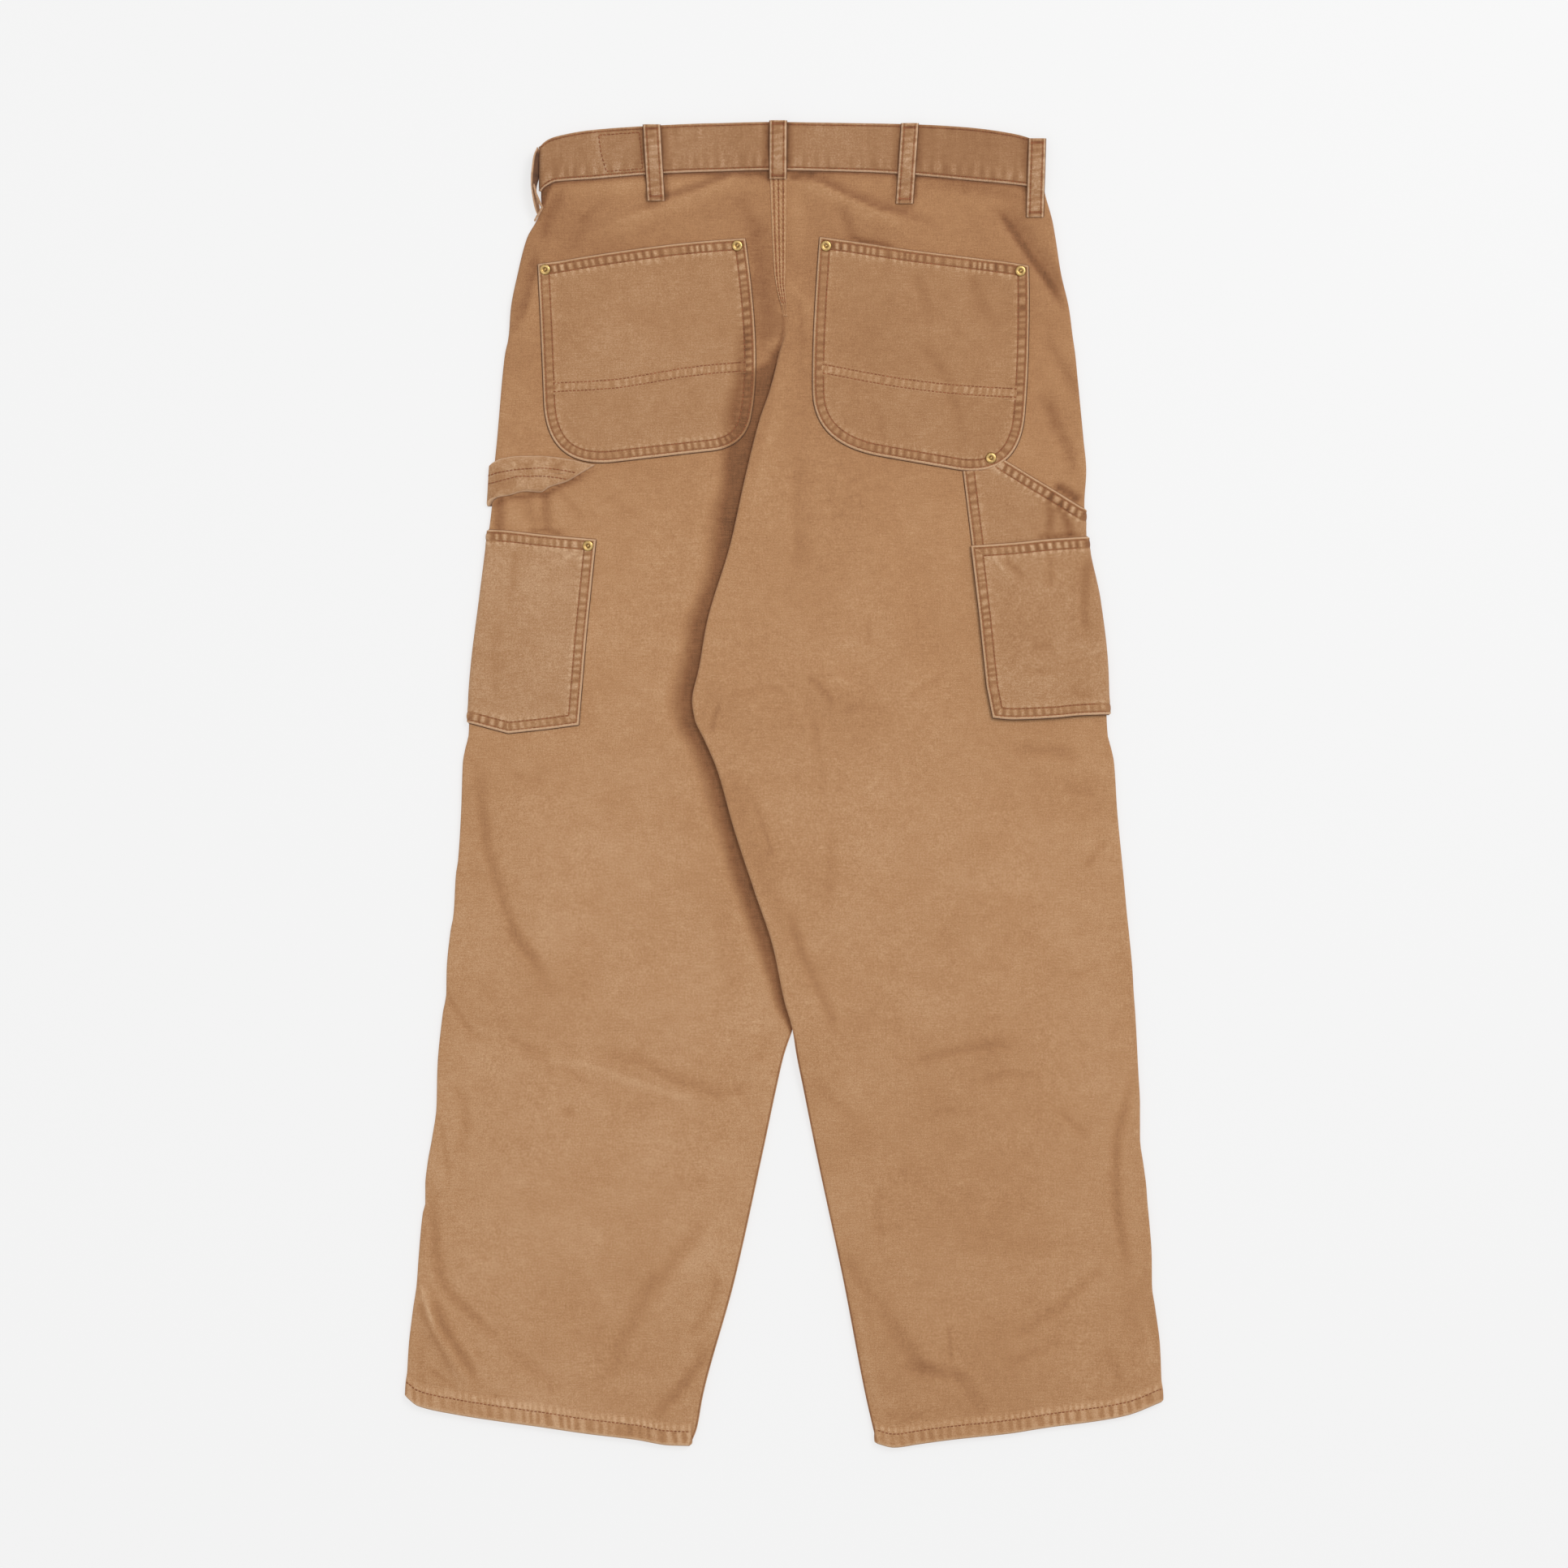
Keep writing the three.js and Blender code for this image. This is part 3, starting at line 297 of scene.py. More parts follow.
def curve(xs, ys):
    """A smooth curve through the given places that never overshoots them."""
    order = np.argsort(xs)
    xs, ys = np.asarray(xs, float)[order], np.asarray(ys, float)[order]
    rise = np.diff(ys) / np.diff(xs)
    before, after = rise[:-1], rise[1:]
    level = np.where(before * after > 0, before * after, 0)
    slopes = np.concatenate([rise[:1], 2 * level / np.where(level > 0, before + after, 1), rise[-1:]])

    def at(value):
        """The curve at a value: a cubic between the two places beside it."""
        v = np.clip(value, xs[0], xs[-1])
        i = np.clip(np.searchsorted(xs, v, side="right") - 1, 0, len(xs) - 2)
        width = xs[i + 1] - xs[i]
        t = (v - xs[i]) / width
        start = ys[i] * (1 + 2 * t) * (1 - t) ** 2 + slopes[i] * width * t * (1 - t) ** 2
        return start + ys[i + 1] * t * t * (3 - 2 * t) + slopes[i + 1] * width * t * t * (t - 1)

    return at


def noise(x, y, scale, seed):
    """Smooth noise from -1 to 1 over a lattice of that scale."""
    size = 97
    lattice = np.random.default_rng(seed).uniform(-1, 1, (size, size))
    x, y = np.broadcast_arrays(np.asarray(x, float) / scale, np.asarray(y, float) / scale)
    i, j = np.floor(x).astype(int), np.floor(y).astype(int)
    u, v = ease(0, 1, x - i), ease(0, 1, y - j)
    low = mix(lattice[i % size, j % size], lattice[(i + 1) % size, j % size], u)
    high = mix(lattice[i % size, (j + 1) % size], lattice[(i + 1) % size, (j + 1) % size], u)
    return mix(low, high, v)


side_seam = {side: curve(SIDE_SEAMS["y"], SIDE_SEAMS[side]) for side in ("left", "right")}
right_inner = curve(RIGHT_INNER["y"], RIGHT_INNER["x"])
left_lower_inner = curve(LEFT_LOWER_INNER["y"], LEFT_LOWER_INNER["x"])
band_lower = curve(BAND_OUTLINE["x"], BAND_OUTLINE["lower"])
band_upper = curve(BAND_OUTLINE["x"], BAND_OUTLINE["upper"])
hem_edge = {"left": curve(HEM_LEFT["x"], HEM_LEFT["y"]), "right": curve(HEM_RIGHT["x"], HEM_RIGHT["y"])}
SIGN = {"left": -1, "right": 1}


def left_inner(y):
    """The left leg's inner edge: the seat seam, then the mirrored edge under the lap, then its own."""
    y = np.asarray(y, float)
    axis = mix(LAP["axis_foot"], LAP["axis_top"], (y - LAP["knee"]) / (LAP["crotch"] - LAP["knee"]))
    lower = np.where(y < LAP["knee"], left_lower_inner(y), 2 * axis - right_inner(y))
    return np.where(y > LAP["crotch"], right_inner(y) - SEAM_GAP, lower)


inner_edge = {"left": left_inner, "right": right_inner}


def crest_height(fold, x, y):
    """Height of one fold: a crest line with a soft slope on either side, fading at its ends."""
    crest, height, above, below = fold
    best = np.full(np.shape(x), np.inf)
    side = np.ones(np.shape(x))
    along = np.zeros(np.shape(x))
    spans = len(crest) - 1
    for i in range(spans):
        (ax, ay), (bx, by) = crest[i], crest[i + 1]
        dx, dy = bx - ax, by - ay
        t = np.clip(((x - ax) * dx + (y - ay) * dy) / (dx * dx + dy * dy), 0, 1)
        distance = np.hypot(x - ax - t * dx, y - ay - t * dy)
        nearer = distance < best
        best = np.where(nearer, distance, best)
        side = np.where(nearer, dx * (y - ay) - dy * (x - ax), side)
        along = np.where(nearer, (i + t) / spans, along)
    reach = np.where(side > 0, above, below)
    ends = ease(0, FOLD_FADE, along) * ease(1, 1 - FOLD_FADE, along)
    return height * (1 - ease(0, 1, best / reach)) * ends


def painted(strokes, spots=(), step=1.5):
    """The sum of all strokes and round spots, laid down once on a fine grid and then read between its
    points."""
    xs = np.arange(-320, 320, step)
    ys = np.arange(-545, 545, step)
    sheet = np.zeros((len(ys), len(xs)))
    for stroke in strokes:
        crest, _, above, below = stroke
        places = np.array(crest)
        reach = max(above, below)
        columns = slice(*np.searchsorted(xs, (places[:, 0].min() - reach, places[:, 0].max() + reach)))
        rows = slice(*np.searchsorted(ys, (places[:, 1].min() - reach, places[:, 1].max() + reach)))
        sheet[rows, columns] += crest_height(stroke, *np.meshgrid(xs[columns], ys[rows]))
    for x, y, radius, depth in spots:
        sheet += depth * ease(radius, radius * 0.4, np.hypot(xs[None, :] - x, ys[:, None] - y))

    def at(x, y):
        """The sheet at a place, mixed from the four grid points round it."""
        i = np.clip((x - xs[0]) / step, 0, len(xs) - 1.001)
        j = np.clip((y - ys[0]) / step, 0, len(ys) - 1.001)
        i0, j0 = i.astype(int), j.astype(int)
        u, v = i - i0, j - j0
        low = mix(sheet[j0, i0], sheet[j0, i0 + 1], u)
        return mix(low, mix(sheet[j0 + 1, i0], sheet[j0 + 1, i0 + 1], u), v)

    return at


folds_at = painted(FOLDS + CREASES)
strokes_at = painted(SHADES, SPOTS)
# How much lower the cloth lies under a dark stroke
DARK_DIP = 0.9


def lap_shadow(x, y):
    """Darkness on the left leg beside the fold of the right leg, from 0 to -LAP_SHADOW_DEPTH."""
    away = right_inner(y) - x
    dark = np.interp(y, LAP_SHADOW["y"][::-1], LAP_SHADOW["dark"][::-1])
    soft = np.interp(y, LAP_SHADOW["y"][::-1], LAP_SHADOW["soft"][::-1])
    inside = (y < LAP_SHADOW["y"][0]) & (y > LAP_SHADOW["y"][-1]) & (away > -12)
    core = dark * 0.6
    return -LAP_SHADOW_DEPTH * inside * (1 - ease(0, 1, (away - core) / np.maximum(soft - core, 1)))


def shade_at(side, x, y):
    """All soft shading at a place of the back."""
    x, y = np.broadcast_arrays(np.asarray(x, float), np.asarray(y, float))
    total = strokes_at(x, y)
    if side == "left":
        total = total + lap_shadow(x, y)
    return total


def lap_share(y):
    """Share of the lap's full height at y: it grows just above the crotch and dies away below the knee."""
    return ease(LAP_RAMP["top"], LAP_RAMP["full"], y) * ease(LAP_RAMP["gone"], LAP_RAMP["foot"], y)


def button_lift(x, y):
    """Height that the waist button adds: its full lift within a small radius, easing to 0 at its reach."""
    away = np.hypot(x - BUTTON["x"], y - BUTTON["y"])
    return BUTTON["lift"] * ease(BUTTON["reach"], BUTTON["flat"], away)


def relief(side, x, y):
    """Soft relief of the back: folds, creases and the slight waviness of washed duck."""
    x, y = np.broadcast_arrays(np.asarray(x, float), np.asarray(y, float))
    total = SOFT_RISE + folds_at(x, y) + DARK_DIP * np.maximum(strokes_at(x, y), -0.7)
    total = total + 0.28 * noise(x, y, 46, 11) + 0.1 * noise(x, y, 15, 12)
    total = 0.15 + np.logaddexp(0, (total - 0.15) * 4) / 4
    if side == "right":
        return total
    edge = right_inner(y)
    clear_of_lap = ease(edge - LAP_FLAT["to"], edge - LAP_FLAT["from"], x)
    return total * mix(1, clear_of_lap, lap_share(y) * ease(LAP["crotch"] + 12, LAP["crotch"] - 24, y))


def leg_base(side, x, y):
    """Height of a leg's underside: the button's lift, and on the right leg the lap over the left."""
    lifted = button_lift(x, y)
    if side == "left":
        return lifted
    reach = left_inner(y)
    return lifted + LAP_LIFT * lap_share(y) * ease(reach + LAP_RAMP["end"], reach + LAP_RAMP["start"], x)


def seam_rise(x, y):
    """How far the left leg's back rises to the seam where the right leg starts to lap over it."""
    away = right_inner(y) - x
    beside = ease(34, 4, away) * np.where(y > 376, 1, ease(-0.2, 2.4, away))
    return LAP_LIFT * beside * ease(300, 380, y) * ease(LAP_RAMP["top"], LAP_RAMP["full"], y)


def leg_top(side, x, y):
    """Height of a leg's back: its underside, two layers of cloth, their slack and the relief."""
    top = leg_base(side, x, y) + 2 * CLOTH + LEG_SLACK + relief(side, x, y)
    return top + seam_rise(x, y) if side == "left" else top


def rim_length(half_height):
    """Arc length of the rounded side, from the flat to the seam at half height."""
    return np.pi / 2 * np.sqrt((SIDE_ROUND ** 2 + half_height ** 2) / 2)


def skin(side, x, y, lift):
    """A point over the back of a leg, lifted off the cloth. Past the flat, x runs on round the side seam,
    and below the knee round the inseam too."""
    x, y, lift = np.broadcast_arrays(*(np.asarray(v, float) for v in (x, y, lift)))
    sign = SIGN[side]
    outer = sign * (side_seam[side](y) - x)
    inner = np.where(y < LAP["knee"], sign * (x - inner_edge[side](y)), np.inf)
    at_side = outer <= inner
    depth = np.minimum(outer, inner)
    edge = np.where(at_side, side_seam[side](y), inner_edge[side](y))
    outward = np.where(at_side, sign, -sign)
    past = np.maximum(SIDE_ROUND - depth, 0)
    level_x = np.where(past > 0, edge - outward * SIDE_ROUND, x)
    top = leg_top(side, level_x, y)
    base = leg_base(side, level_x, y)
    half = (top - base) / 2
    angle = np.clip(past / rim_length(half), 0, 1) * np.pi / 2
    px = np.where(past > 0, level_x + outward * (SIDE_ROUND + lift) * np.sin(angle), x)
    pz = (top + base) / 2 + (half + lift) * np.cos(angle)
    return np.stack([px, y, pz], axis=-1)


def place(points):
    """Millimetres of the drawing into metres of the frame."""
    return (np.asarray(points) + (0, PICTURE_TO_ORIGIN_Y, 0)) * MM


def build_mesh(name, points, quads, triangles, wear_and_shade, material):
    """A smooth closed mesh that rides on the garment, with its point attribute of worn colour and painted
    light and
    shade: -1 where the dye is darkest or the painted shade deepest, 1 where it is worn palest or painted
    lightest."""
    mesh = bpy.data.meshes.new(name)
    quads, triangles = np.reshape(quads, (-1, 4)), np.reshape(triangles, (-1, 3))
    corners = np.concatenate([quads.ravel(), triangles.ravel()]).astype(np.int32)
    totals = np.concatenate([np.full(len(quads), 4), np.full(len(triangles), 3)]).astype(np.int32)
    mesh.vertices.add(len(points))
    mesh.vertices.foreach_set("co", place(points).astype(np.float32).ravel())
    mesh.loops.add(len(corners))
    mesh.loops.foreach_set("vertex_index", corners)
    mesh.polygons.add(len(totals))
    mesh.polygons.foreach_set("loop_start", (np.cumsum(totals) - totals).astype(np.int32))
    mesh.polygons.foreach_set("use_smooth", np.ones(len(totals), bool))
    mesh.update(calc_edges=True)
    mesh.validate()
    work = bmesh.new()
    work.from_mesh(mesh)
    bmesh.ops.recalc_face_normals(work, faces=work.faces)
    work.to_mesh(mesh)
    work.free()
    attribute_layer = mesh.attributes.new("wear_and_shade", "FLOAT", "POINT")
    attribute_layer.data.foreach_set("value", np.asarray(wear_and_shade, np.float32).ravel())
    mesh.materials.append(material)
    thing = bpy.data.objects.new(name, mesh)
    bpy.context.scene.collection.objects.link(thing)
    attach(thing, "root")
    return thing


def grid_quads(rows, columns, start=0, wrap=False):
    """Quads of a grid of points numbered row by row. wrap joins the last column to the first."""
    i = np.arange(rows - 1)[:, None]
    j = np.arange(columns if wrap else columns - 1)[None, :]
    k = (j + 1) % columns
    corners = [i * columns + j, (i + 1) * columns + j, (i + 1) * columns + k, i * columns + k]
    spread = [np.broadcast_to(corner, (rows - 1, j.size)) for corner in corners]
    return np.stack(spread, axis=-1).reshape(-1, 4) + start


def wall_mesh(name, outer, inner, wear_and_shade, material):
    """A closed cloth wall between two grids of points of the same size."""
    rows, columns = outer.shape[:2]
    count = rows * columns
    ids = np.arange(count).reshape(rows, columns)
    border = np.concatenate([ids[0, :-1], ids[:-1, -1], ids[-1, :0:-1], ids[:0:-1, 0]])
    after = np.roll(border, -1)
    rim = np.stack([border, after, after + count, border + count], axis=-1)
    quads = np.concatenate([grid_quads(rows, columns), grid_quads(rows, columns, count)[:, ::-1], rim])
    points = np.concatenate([outer.reshape(-1, 3), inner.reshape(-1, 3)])
    both = np.concatenate([wear_and_shade.ravel(), wear_and_shade.ravel()])
    return build_mesh(name, points, quads, [], both, material)


def disc_mesh(name, rings, wear_and_shade, material):
    """A closed form from rings of points, shut by a point in the middle of its first and last ring."""
    count, around = rings.shape[:2]
    poles = np.stack([rings[0].mean(axis=0), rings[-1].mean(axis=0)])
    points = np.concatenate([rings.reshape(-1, 3), poles])
    j = np.arange(around)
    k = (j + 1) % around
    first, last = count * around, count * around + 1
    base = (count - 1) * around
    ends = np.concatenate([
        np.stack([np.full(around, first), k, j], axis=-1),
        np.stack([np.full(around, last), base + j, base + k], axis=-1),
    ])
    shade = np.concatenate([wear_and_shade.ravel(), [wear_and_shade[0].mean(), wear_and_shade[-1].mean()]])
    return build_mesh(name, points, grid_quads(count, around, wrap=True), ends, shade, material)


def unit(vectors):
    """Each vector divided by its length."""
    return vectors / np.linalg.norm(vectors, axis=-1, keepdims=True)


def left_normal(slope):
    """Unit vectors to the left of each slope."""
    slope = unit(slope)
    return np.stack([-slope[:, 1], slope[:, 0]], axis=-1)


def run_length(points):
    """Length along a polyline at each of its points: the sum of the steps before it."""
    return np.concatenate([[0], np.cumsum(np.linalg.norm(np.diff(points, axis=0), axis=1))])


def spaced(points, count):
    """The points of a polyline at even steps of its length."""
    points = np.asarray(points, float)
    run = run_length(points)
    at = np.linspace(0, run[-1], count)
    return np.stack([np.interp(at, run, points[:, k]) for k in range(points.shape[1])], axis=-1)


def bezier(start, via, end, steps=24):
    """A quadratic curve from start to end, drawn towards via."""
    t = np.linspace(0, 1, steps)[:, None]
    a, b, c = (np.asarray(p, float) for p in (start, via, end))
    return (1 - t) ** 2 * a + 2 * t * (1 - t) * b + t * t * c


def smooth_line(points, count=80):
    """A smooth line through a few places."""
    points = np.asarray(points, float)
    run = run_length(points)
    at = np.linspace(0, run[-1], count)
    return np.stack([curve(run, points[:, k])(at) for k in range(2)], axis=-1)


# Materials

# Distance between the threads of the cloth, across and along it, in metres
WEAVE_PITCH = (0.00124, 0.00136)


def linear(red, green, blue):
    """A colour given in screen values from 0 to 255, as the shaders take it."""
    c = np.array([red, green, blue]) / 255
    c = np.where(c <= 0.04045, c / 12.92, ((c + 0.055) / 1.055) ** 2.4)
    return (*map(float, c), 1.0)


def socket(group, name, kind, direction, value=None):
    """One input or output of a node group, with its value where one is given."""
    made = group.interface.new_socket(name=name, in_out=direction, socket_type=kind)
    if value is not None:
        made.default_value = value
    return made


def math_node(nodes, links, operation, a, b=None, clamp=False):
    """The output of one operation on a and b, each a number or another node's output."""
    node = nodes.new("ShaderNodeMath")
    node.operation = operation
    node.use_clamp = clamp
    for k, value in enumerate((a, b)):
        if value is None:
            continue
        if isinstance(value, (int, float)):
            node.inputs[k].default_value = value
        else:
            links.new(value, node.inputs[k])
    return node.outputs[0]


def noise_node(nodes, links, vector, scale, detail=2.0, stretch=(1, 1, 1), roughness=0.55):
    """Noise over the vector, whose axes are scaled by scale times stretch."""
    mapping = nodes.new("ShaderNodeMapping")
    mapping.inputs["Scale"].default_value = [scale * s for s in stretch]
    links.new(vector, mapping.inputs["Vector"])
    node = nodes.new("ShaderNodeTexNoise")
    node.inputs["Scale"].default_value = 1.0
    node.inputs["Detail"].default_value = detail
    node.inputs["Roughness"].default_value = roughness
    links.new(mapping.outputs[0], node.inputs["Vector"])
    return node.outputs["Fac"]


def mix_node(nodes, links, share, first, second):
    """A colour mixed from first to second by a share. second is a node's output or a plain colour."""
    node = nodes.new("ShaderNodeMix")
    node.data_type = "RGBA"
    links.new(share, node.inputs[0])
    links.new(first, node.inputs[6])
    if isinstance(second, tuple):
        node.inputs[7].default_value = second
    else:
        links.new(second, node.inputs[7])
    return node.outputs[2]


def colour_ramp(nodes, links, value, low, high):
    """A colour between two, each given as its place on the ramp and its colour."""
    ramp = nodes.new("ShaderNodeValToRGB")
    for k, (position, colour) in enumerate((low, high)):
        ramp.color_ramp.elements[k].position = position
        ramp.color_ramp.elements[k].color = colour
    links.new(value, ramp.inputs[0])
    return ramp.outputs[0]


def duck_group():
    """Washed duck: a plain weave with slubs and mottled dye, made dark or pale by worn colour and painted
    light and shade.
    """
    group = bpy.data.node_groups.new("washed duck", "ShaderNodeTree")
    socket(group, "Base", "NodeSocketColor", "INPUT")
    socket(group, "Dark", "NodeSocketColor", "INPUT")
    socket(group, "Pale", "NodeSocketColor", "INPUT")
    socket(group, "Fade", "NodeSocketFloat", "INPUT", 0.0)
    socket(group, "Mottle", "NodeSocketFloat", "INPUT", 1.0)
    socket(group, "Deep_shade", "NodeSocketColor", "INPUT", linear(46, 28, 18))
    socket(group, "Color", "NodeSocketColor", "OUTPUT")
    socket(group, "Roughness", "NodeSocketFloat", "OUTPUT")
    socket(group, "Normal", "NodeSocketVector", "OUTPUT")
    nodes, links = group.nodes, group.links

    def calc(operation, a, b=None, clamp=False):
        """A math node of this group."""
        return math_node(nodes, links, operation, a, b, clamp)

    given = nodes.new("NodeGroupInput").outputs
    out = nodes.new("NodeGroupOutput").inputs
    coords = nodes.new("ShaderNodeTexCoord").outputs["Object"]
    split = nodes.new("ShaderNodeSeparateXYZ")
    links.new(coords, split.inputs[0])
    wobble = noise_node(nodes, links, coords, 260, 1.0)
    # Plain weave: bumps where one thread crosses over the other
    waves = []
    for axis, pitch in enumerate(WEAVE_PITCH):
        scaled = calc("MULTIPLY", split.outputs[axis], 2 * np.pi / pitch)
        bent = calc("ADD", scaled, calc("MULTIPLY", wobble, 5.0))
        waves.append(calc("SINE", bent))
    weave = calc("MULTIPLY", waves[0], waves[1])
    slub_across = noise_node(nodes, links, coords, 1, 2.0, (110, 1500, 400))
    slub_along = noise_node(nodes, links, coords, 1, 2.0, (1500, 130, 400))
    cloud = noise_node(nodes, links, coords, 22, 3.0)
    blotch = noise_node(nodes, links, coords, 120, 3.0)
    grain = noise_node(nodes, links, coords, 900, 2.0)
    # Mottled dye: each noise counts from its middle, by its own weight
    weights = ((cloud, 0.14), (blotch, 0.2), (slub_across, 0.34), (slub_along, 0.24), (grain, 0.74))
    parts = [calc("MULTIPLY", calc("SUBTRACT", value, 0.5), weight) for value, weight in weights]
    shade = parts[0]
    for part in parts[1:]:
        shade = calc("ADD", shade, part)
    shade = calc("MULTIPLY", shade, given["Mottle"])
    shade = calc("ADD", shade, calc("MULTIPLY", weave, 0.12))
    # The worn colour and painted light and shade are broken up by the grain, as worn cloth is
    ragged = calc("SUBTRACT", calc("MULTIPLY", grain, 0.8), 0.4)
    rough_wear_and_shade = calc("MULTIPLY", given["Fade"], calc("ADD", ragged, 1.0))
    total = calc("ADD", rough_wear_and_shade, calc("MULTIPLY", shade, 2.2))
    # Below 0 the base turns dark, above 0 pale, and below -1 the dark turns to the colour of deep painted
    # shade
    below = calc("MULTIPLY", total, -1.0, clamp=True)
    above = calc("MULTIPLY", total, 1.0, clamp=True)
    beyond_dark = calc("SUBTRACT", calc("MULTIPLY", total, -1.0), 1.0, clamp=True)
    colour = mix_node(nodes, links, below, given["Base"], given["Dark"])
    colour = mix_node(nodes, links, above, colour, given["Pale"])
    colour = mix_node(nodes, links, beyond_dark, colour, given["Deep_shade"])
    links.new(colour, out["Color"])
    links.new(calc("ADD", calc("MULTIPLY", grain, 0.12), 0.84), out["Roughness"])
    height = calc("MULTIPLY", weave, 0.5)
    for value, weight in ((slub_across, 0.9), (slub_along, 0.6), (blotch, 1.6)):
        height = calc("ADD", height, calc("MULTIPLY", value, weight))
    bump = nodes.new("ShaderNodeBump")
    bump.inputs["Strength"].default_value = 0.55
    bump.inputs["Distance"].default_value = 0.00022
    links.new(height, bump.inputs["Height"])
    links.new(bump.outputs[0], out["Normal"])
    return group


def shader_material(name):
    """A new material, with its nodes, its links and its shader."""
    material = bpy.data.materials.new(name)
    material.use_nodes = True
    nodes = material.node_tree.nodes
    return material, nodes, material.node_tree.links, nodes["Principled BSDF"]


DUCK = duck_group()


def duck_material(name, base, dark, pale, mottle=1.0):
    """Washed duck in three colours. The point attribute of worn colour and painted light and shade chooses
    between them.
    """
    material, nodes, links, shader = shader_material(name)
    look = nodes.new("ShaderNodeGroup")
    look.node_tree = DUCK
    look.inputs["Base"].default_value = base
    look.inputs["Dark"].default_value = dark
    look.inputs["Pale"].default_value = pale
    look.inputs["Mottle"].default_value = mottle
    wear_and_shade = nodes.new("ShaderNodeAttribute")
    wear_and_shade.attribute_name = "wear_and_shade"
    links.new(wear_and_shade.outputs["Fac"], look.inputs["Fade"])
    links.new(look.outputs["Color"], shader.inputs["Base Color"])
    links.new(look.outputs["Roughness"], shader.inputs["Roughness"])
    links.new(look.outputs["Normal"], shader.inputs["Normal"])
    shader.inputs["Specular IOR Level"].default_value = 0.2
    shader.inputs["Sheen Weight"].default_value = 0.12
    shader.inputs["Sheen Roughness"].default_value = 0.6
    return material


def thread_material():
    """Rust brown thread, mottled and twisted, with painted shade where a stitch dips into the cloth."""
    material, nodes, links, shader = shader_material("rust thread")
    coords = nodes.new("ShaderNodeTexCoord").outputs["Object"]
    tone = noise_node(nodes, links, coords, 140, 2.0)
    dip = nodes.new("ShaderNodeAttribute")
    dip.attribute_name = "wear_and_shade"
    tone = math_node(nodes, links, "ADD", tone, dip.outputs["Fac"])
    colour = colour_ramp(nodes, links, tone, (0.0, linear(92, 44, 26)), (0.75, linear(176, 108, 70)))
    links.new(colour, shader.inputs["Base Color"])
    twist = noise_node(nodes, links, coords, 2600, 1.0)
    bump = nodes.new("ShaderNodeBump")
    bump.inputs["Distance"].default_value = 0.00008
    links.new(twist, bump.inputs["Height"])
    links.new(bump.outputs[0], shader.inputs["Normal"])
    shader.inputs["Roughness"].default_value = 0.7
    shader.inputs["Specular IOR Level"].default_value = 0.3
    return material


def brass_material():
    """Polished brass with a little tarnish, and painted shade where the point attribute is below 0."""
    material, nodes, links, shader = shader_material("rivet brass")
    coords = nodes.new("ShaderNodeTexCoord").outputs["Object"]
    tarnish = noise_node(nodes, links, coords, 700, 3.0)
    polished = colour_ramp(nodes, links, tarnish, (0.3, linear(204, 164, 98)), (0.7, linear(238, 204, 140)))
    hollow = nodes.new("ShaderNodeAttribute")
    hollow.attribute_name = "wear_and_shade"
    shade_share = math_node(nodes, links, "MULTIPLY", hollow.outputs["Fac"], -1.0, clamp=True)
    colour = mix_node(nodes, links, shade_share, polished, linear(120, 84, 46))
    links.new(colour, shader.inputs["Base Color"])
    rough = math_node(nodes, links, "ADD", math_node(nodes, links, "MULTIPLY", tarnish, 0.3), 0.2)
    links.new(rough, shader.inputs["Roughness"])
    shader.inputs["Metallic"].default_value = 1.0
    return material


LEG_DUCK = duck_material(
    "duck of the legs", linear(187, 139, 96), linear(149, 101, 66), linear(217, 177, 139),
)
PATCH_DUCK = duck_material(
    "duck of the patches", linear(179, 133, 92), linear(146, 98, 63), linear(215, 177, 141),
)
BAND_DUCK = duck_material(
    "duck of the band", linear(172, 127, 88), linear(141, 95, 62), linear(214, 178, 146),
)
THREAD = thread_material()
BRASS = brass_material()

# Sewing

STITCH = {
    "pitch": 3.1, "length": 2.55, "wide": 0.42, "high": 0.3, "arch": 0.22, "sunk": 0.12, "tip_sunk": 0.16,
    "sides": 5,
}


def stitch_forms(centres, along, up, length, wide, high):
    """Points of one small rounded thread per row: four rings and two tips, arched over the cloth."""
    across = np.cross(up, along)
    steps = np.array([-1.0, -0.55, 0.55, 1.0])
    fatness = np.array([0.5, 1.0, 1.0, 0.5])
    angles = np.linspace(0, 2 * np.pi, STITCH["sides"], endpoint=False)
    rings = []
    for step, fat in zip(steps, fatness):
        arch = STITCH["arch"] * (1 - step ** 2) - STITCH["sunk"]
        middle = centres + along * (length / 2 * 0.92 * step) + up * arch
        for angle in angles:
            rings.append(middle + across * (wide * fat * np.cos(angle)) + up * (high * fat * np.sin(angle)))
    tips = [centres + along * (length / 2 * way) - up * STITCH["tip_sunk"] for way in (-1, 1)]
    return np.stack([*rings, *tips], axis=1)


def stitch_faces():
    """Faces of one stitch: quads between its four rings and triangles round its two tips."""
    sides = STITCH["sides"]
    quads = grid_quads(4, sides, wrap=True)
    j = np.arange(sides)
    k = (j + 1) % sides
    tip = 4 * sides
    ends = np.concatenate([
        np.stack([np.full(sides, tip), k, j], axis=-1),
        np.stack([np.full(sides, tip + 1), 3 * sides + j, 3 * sides + k], axis=-1),
    ])
    return quads, ends


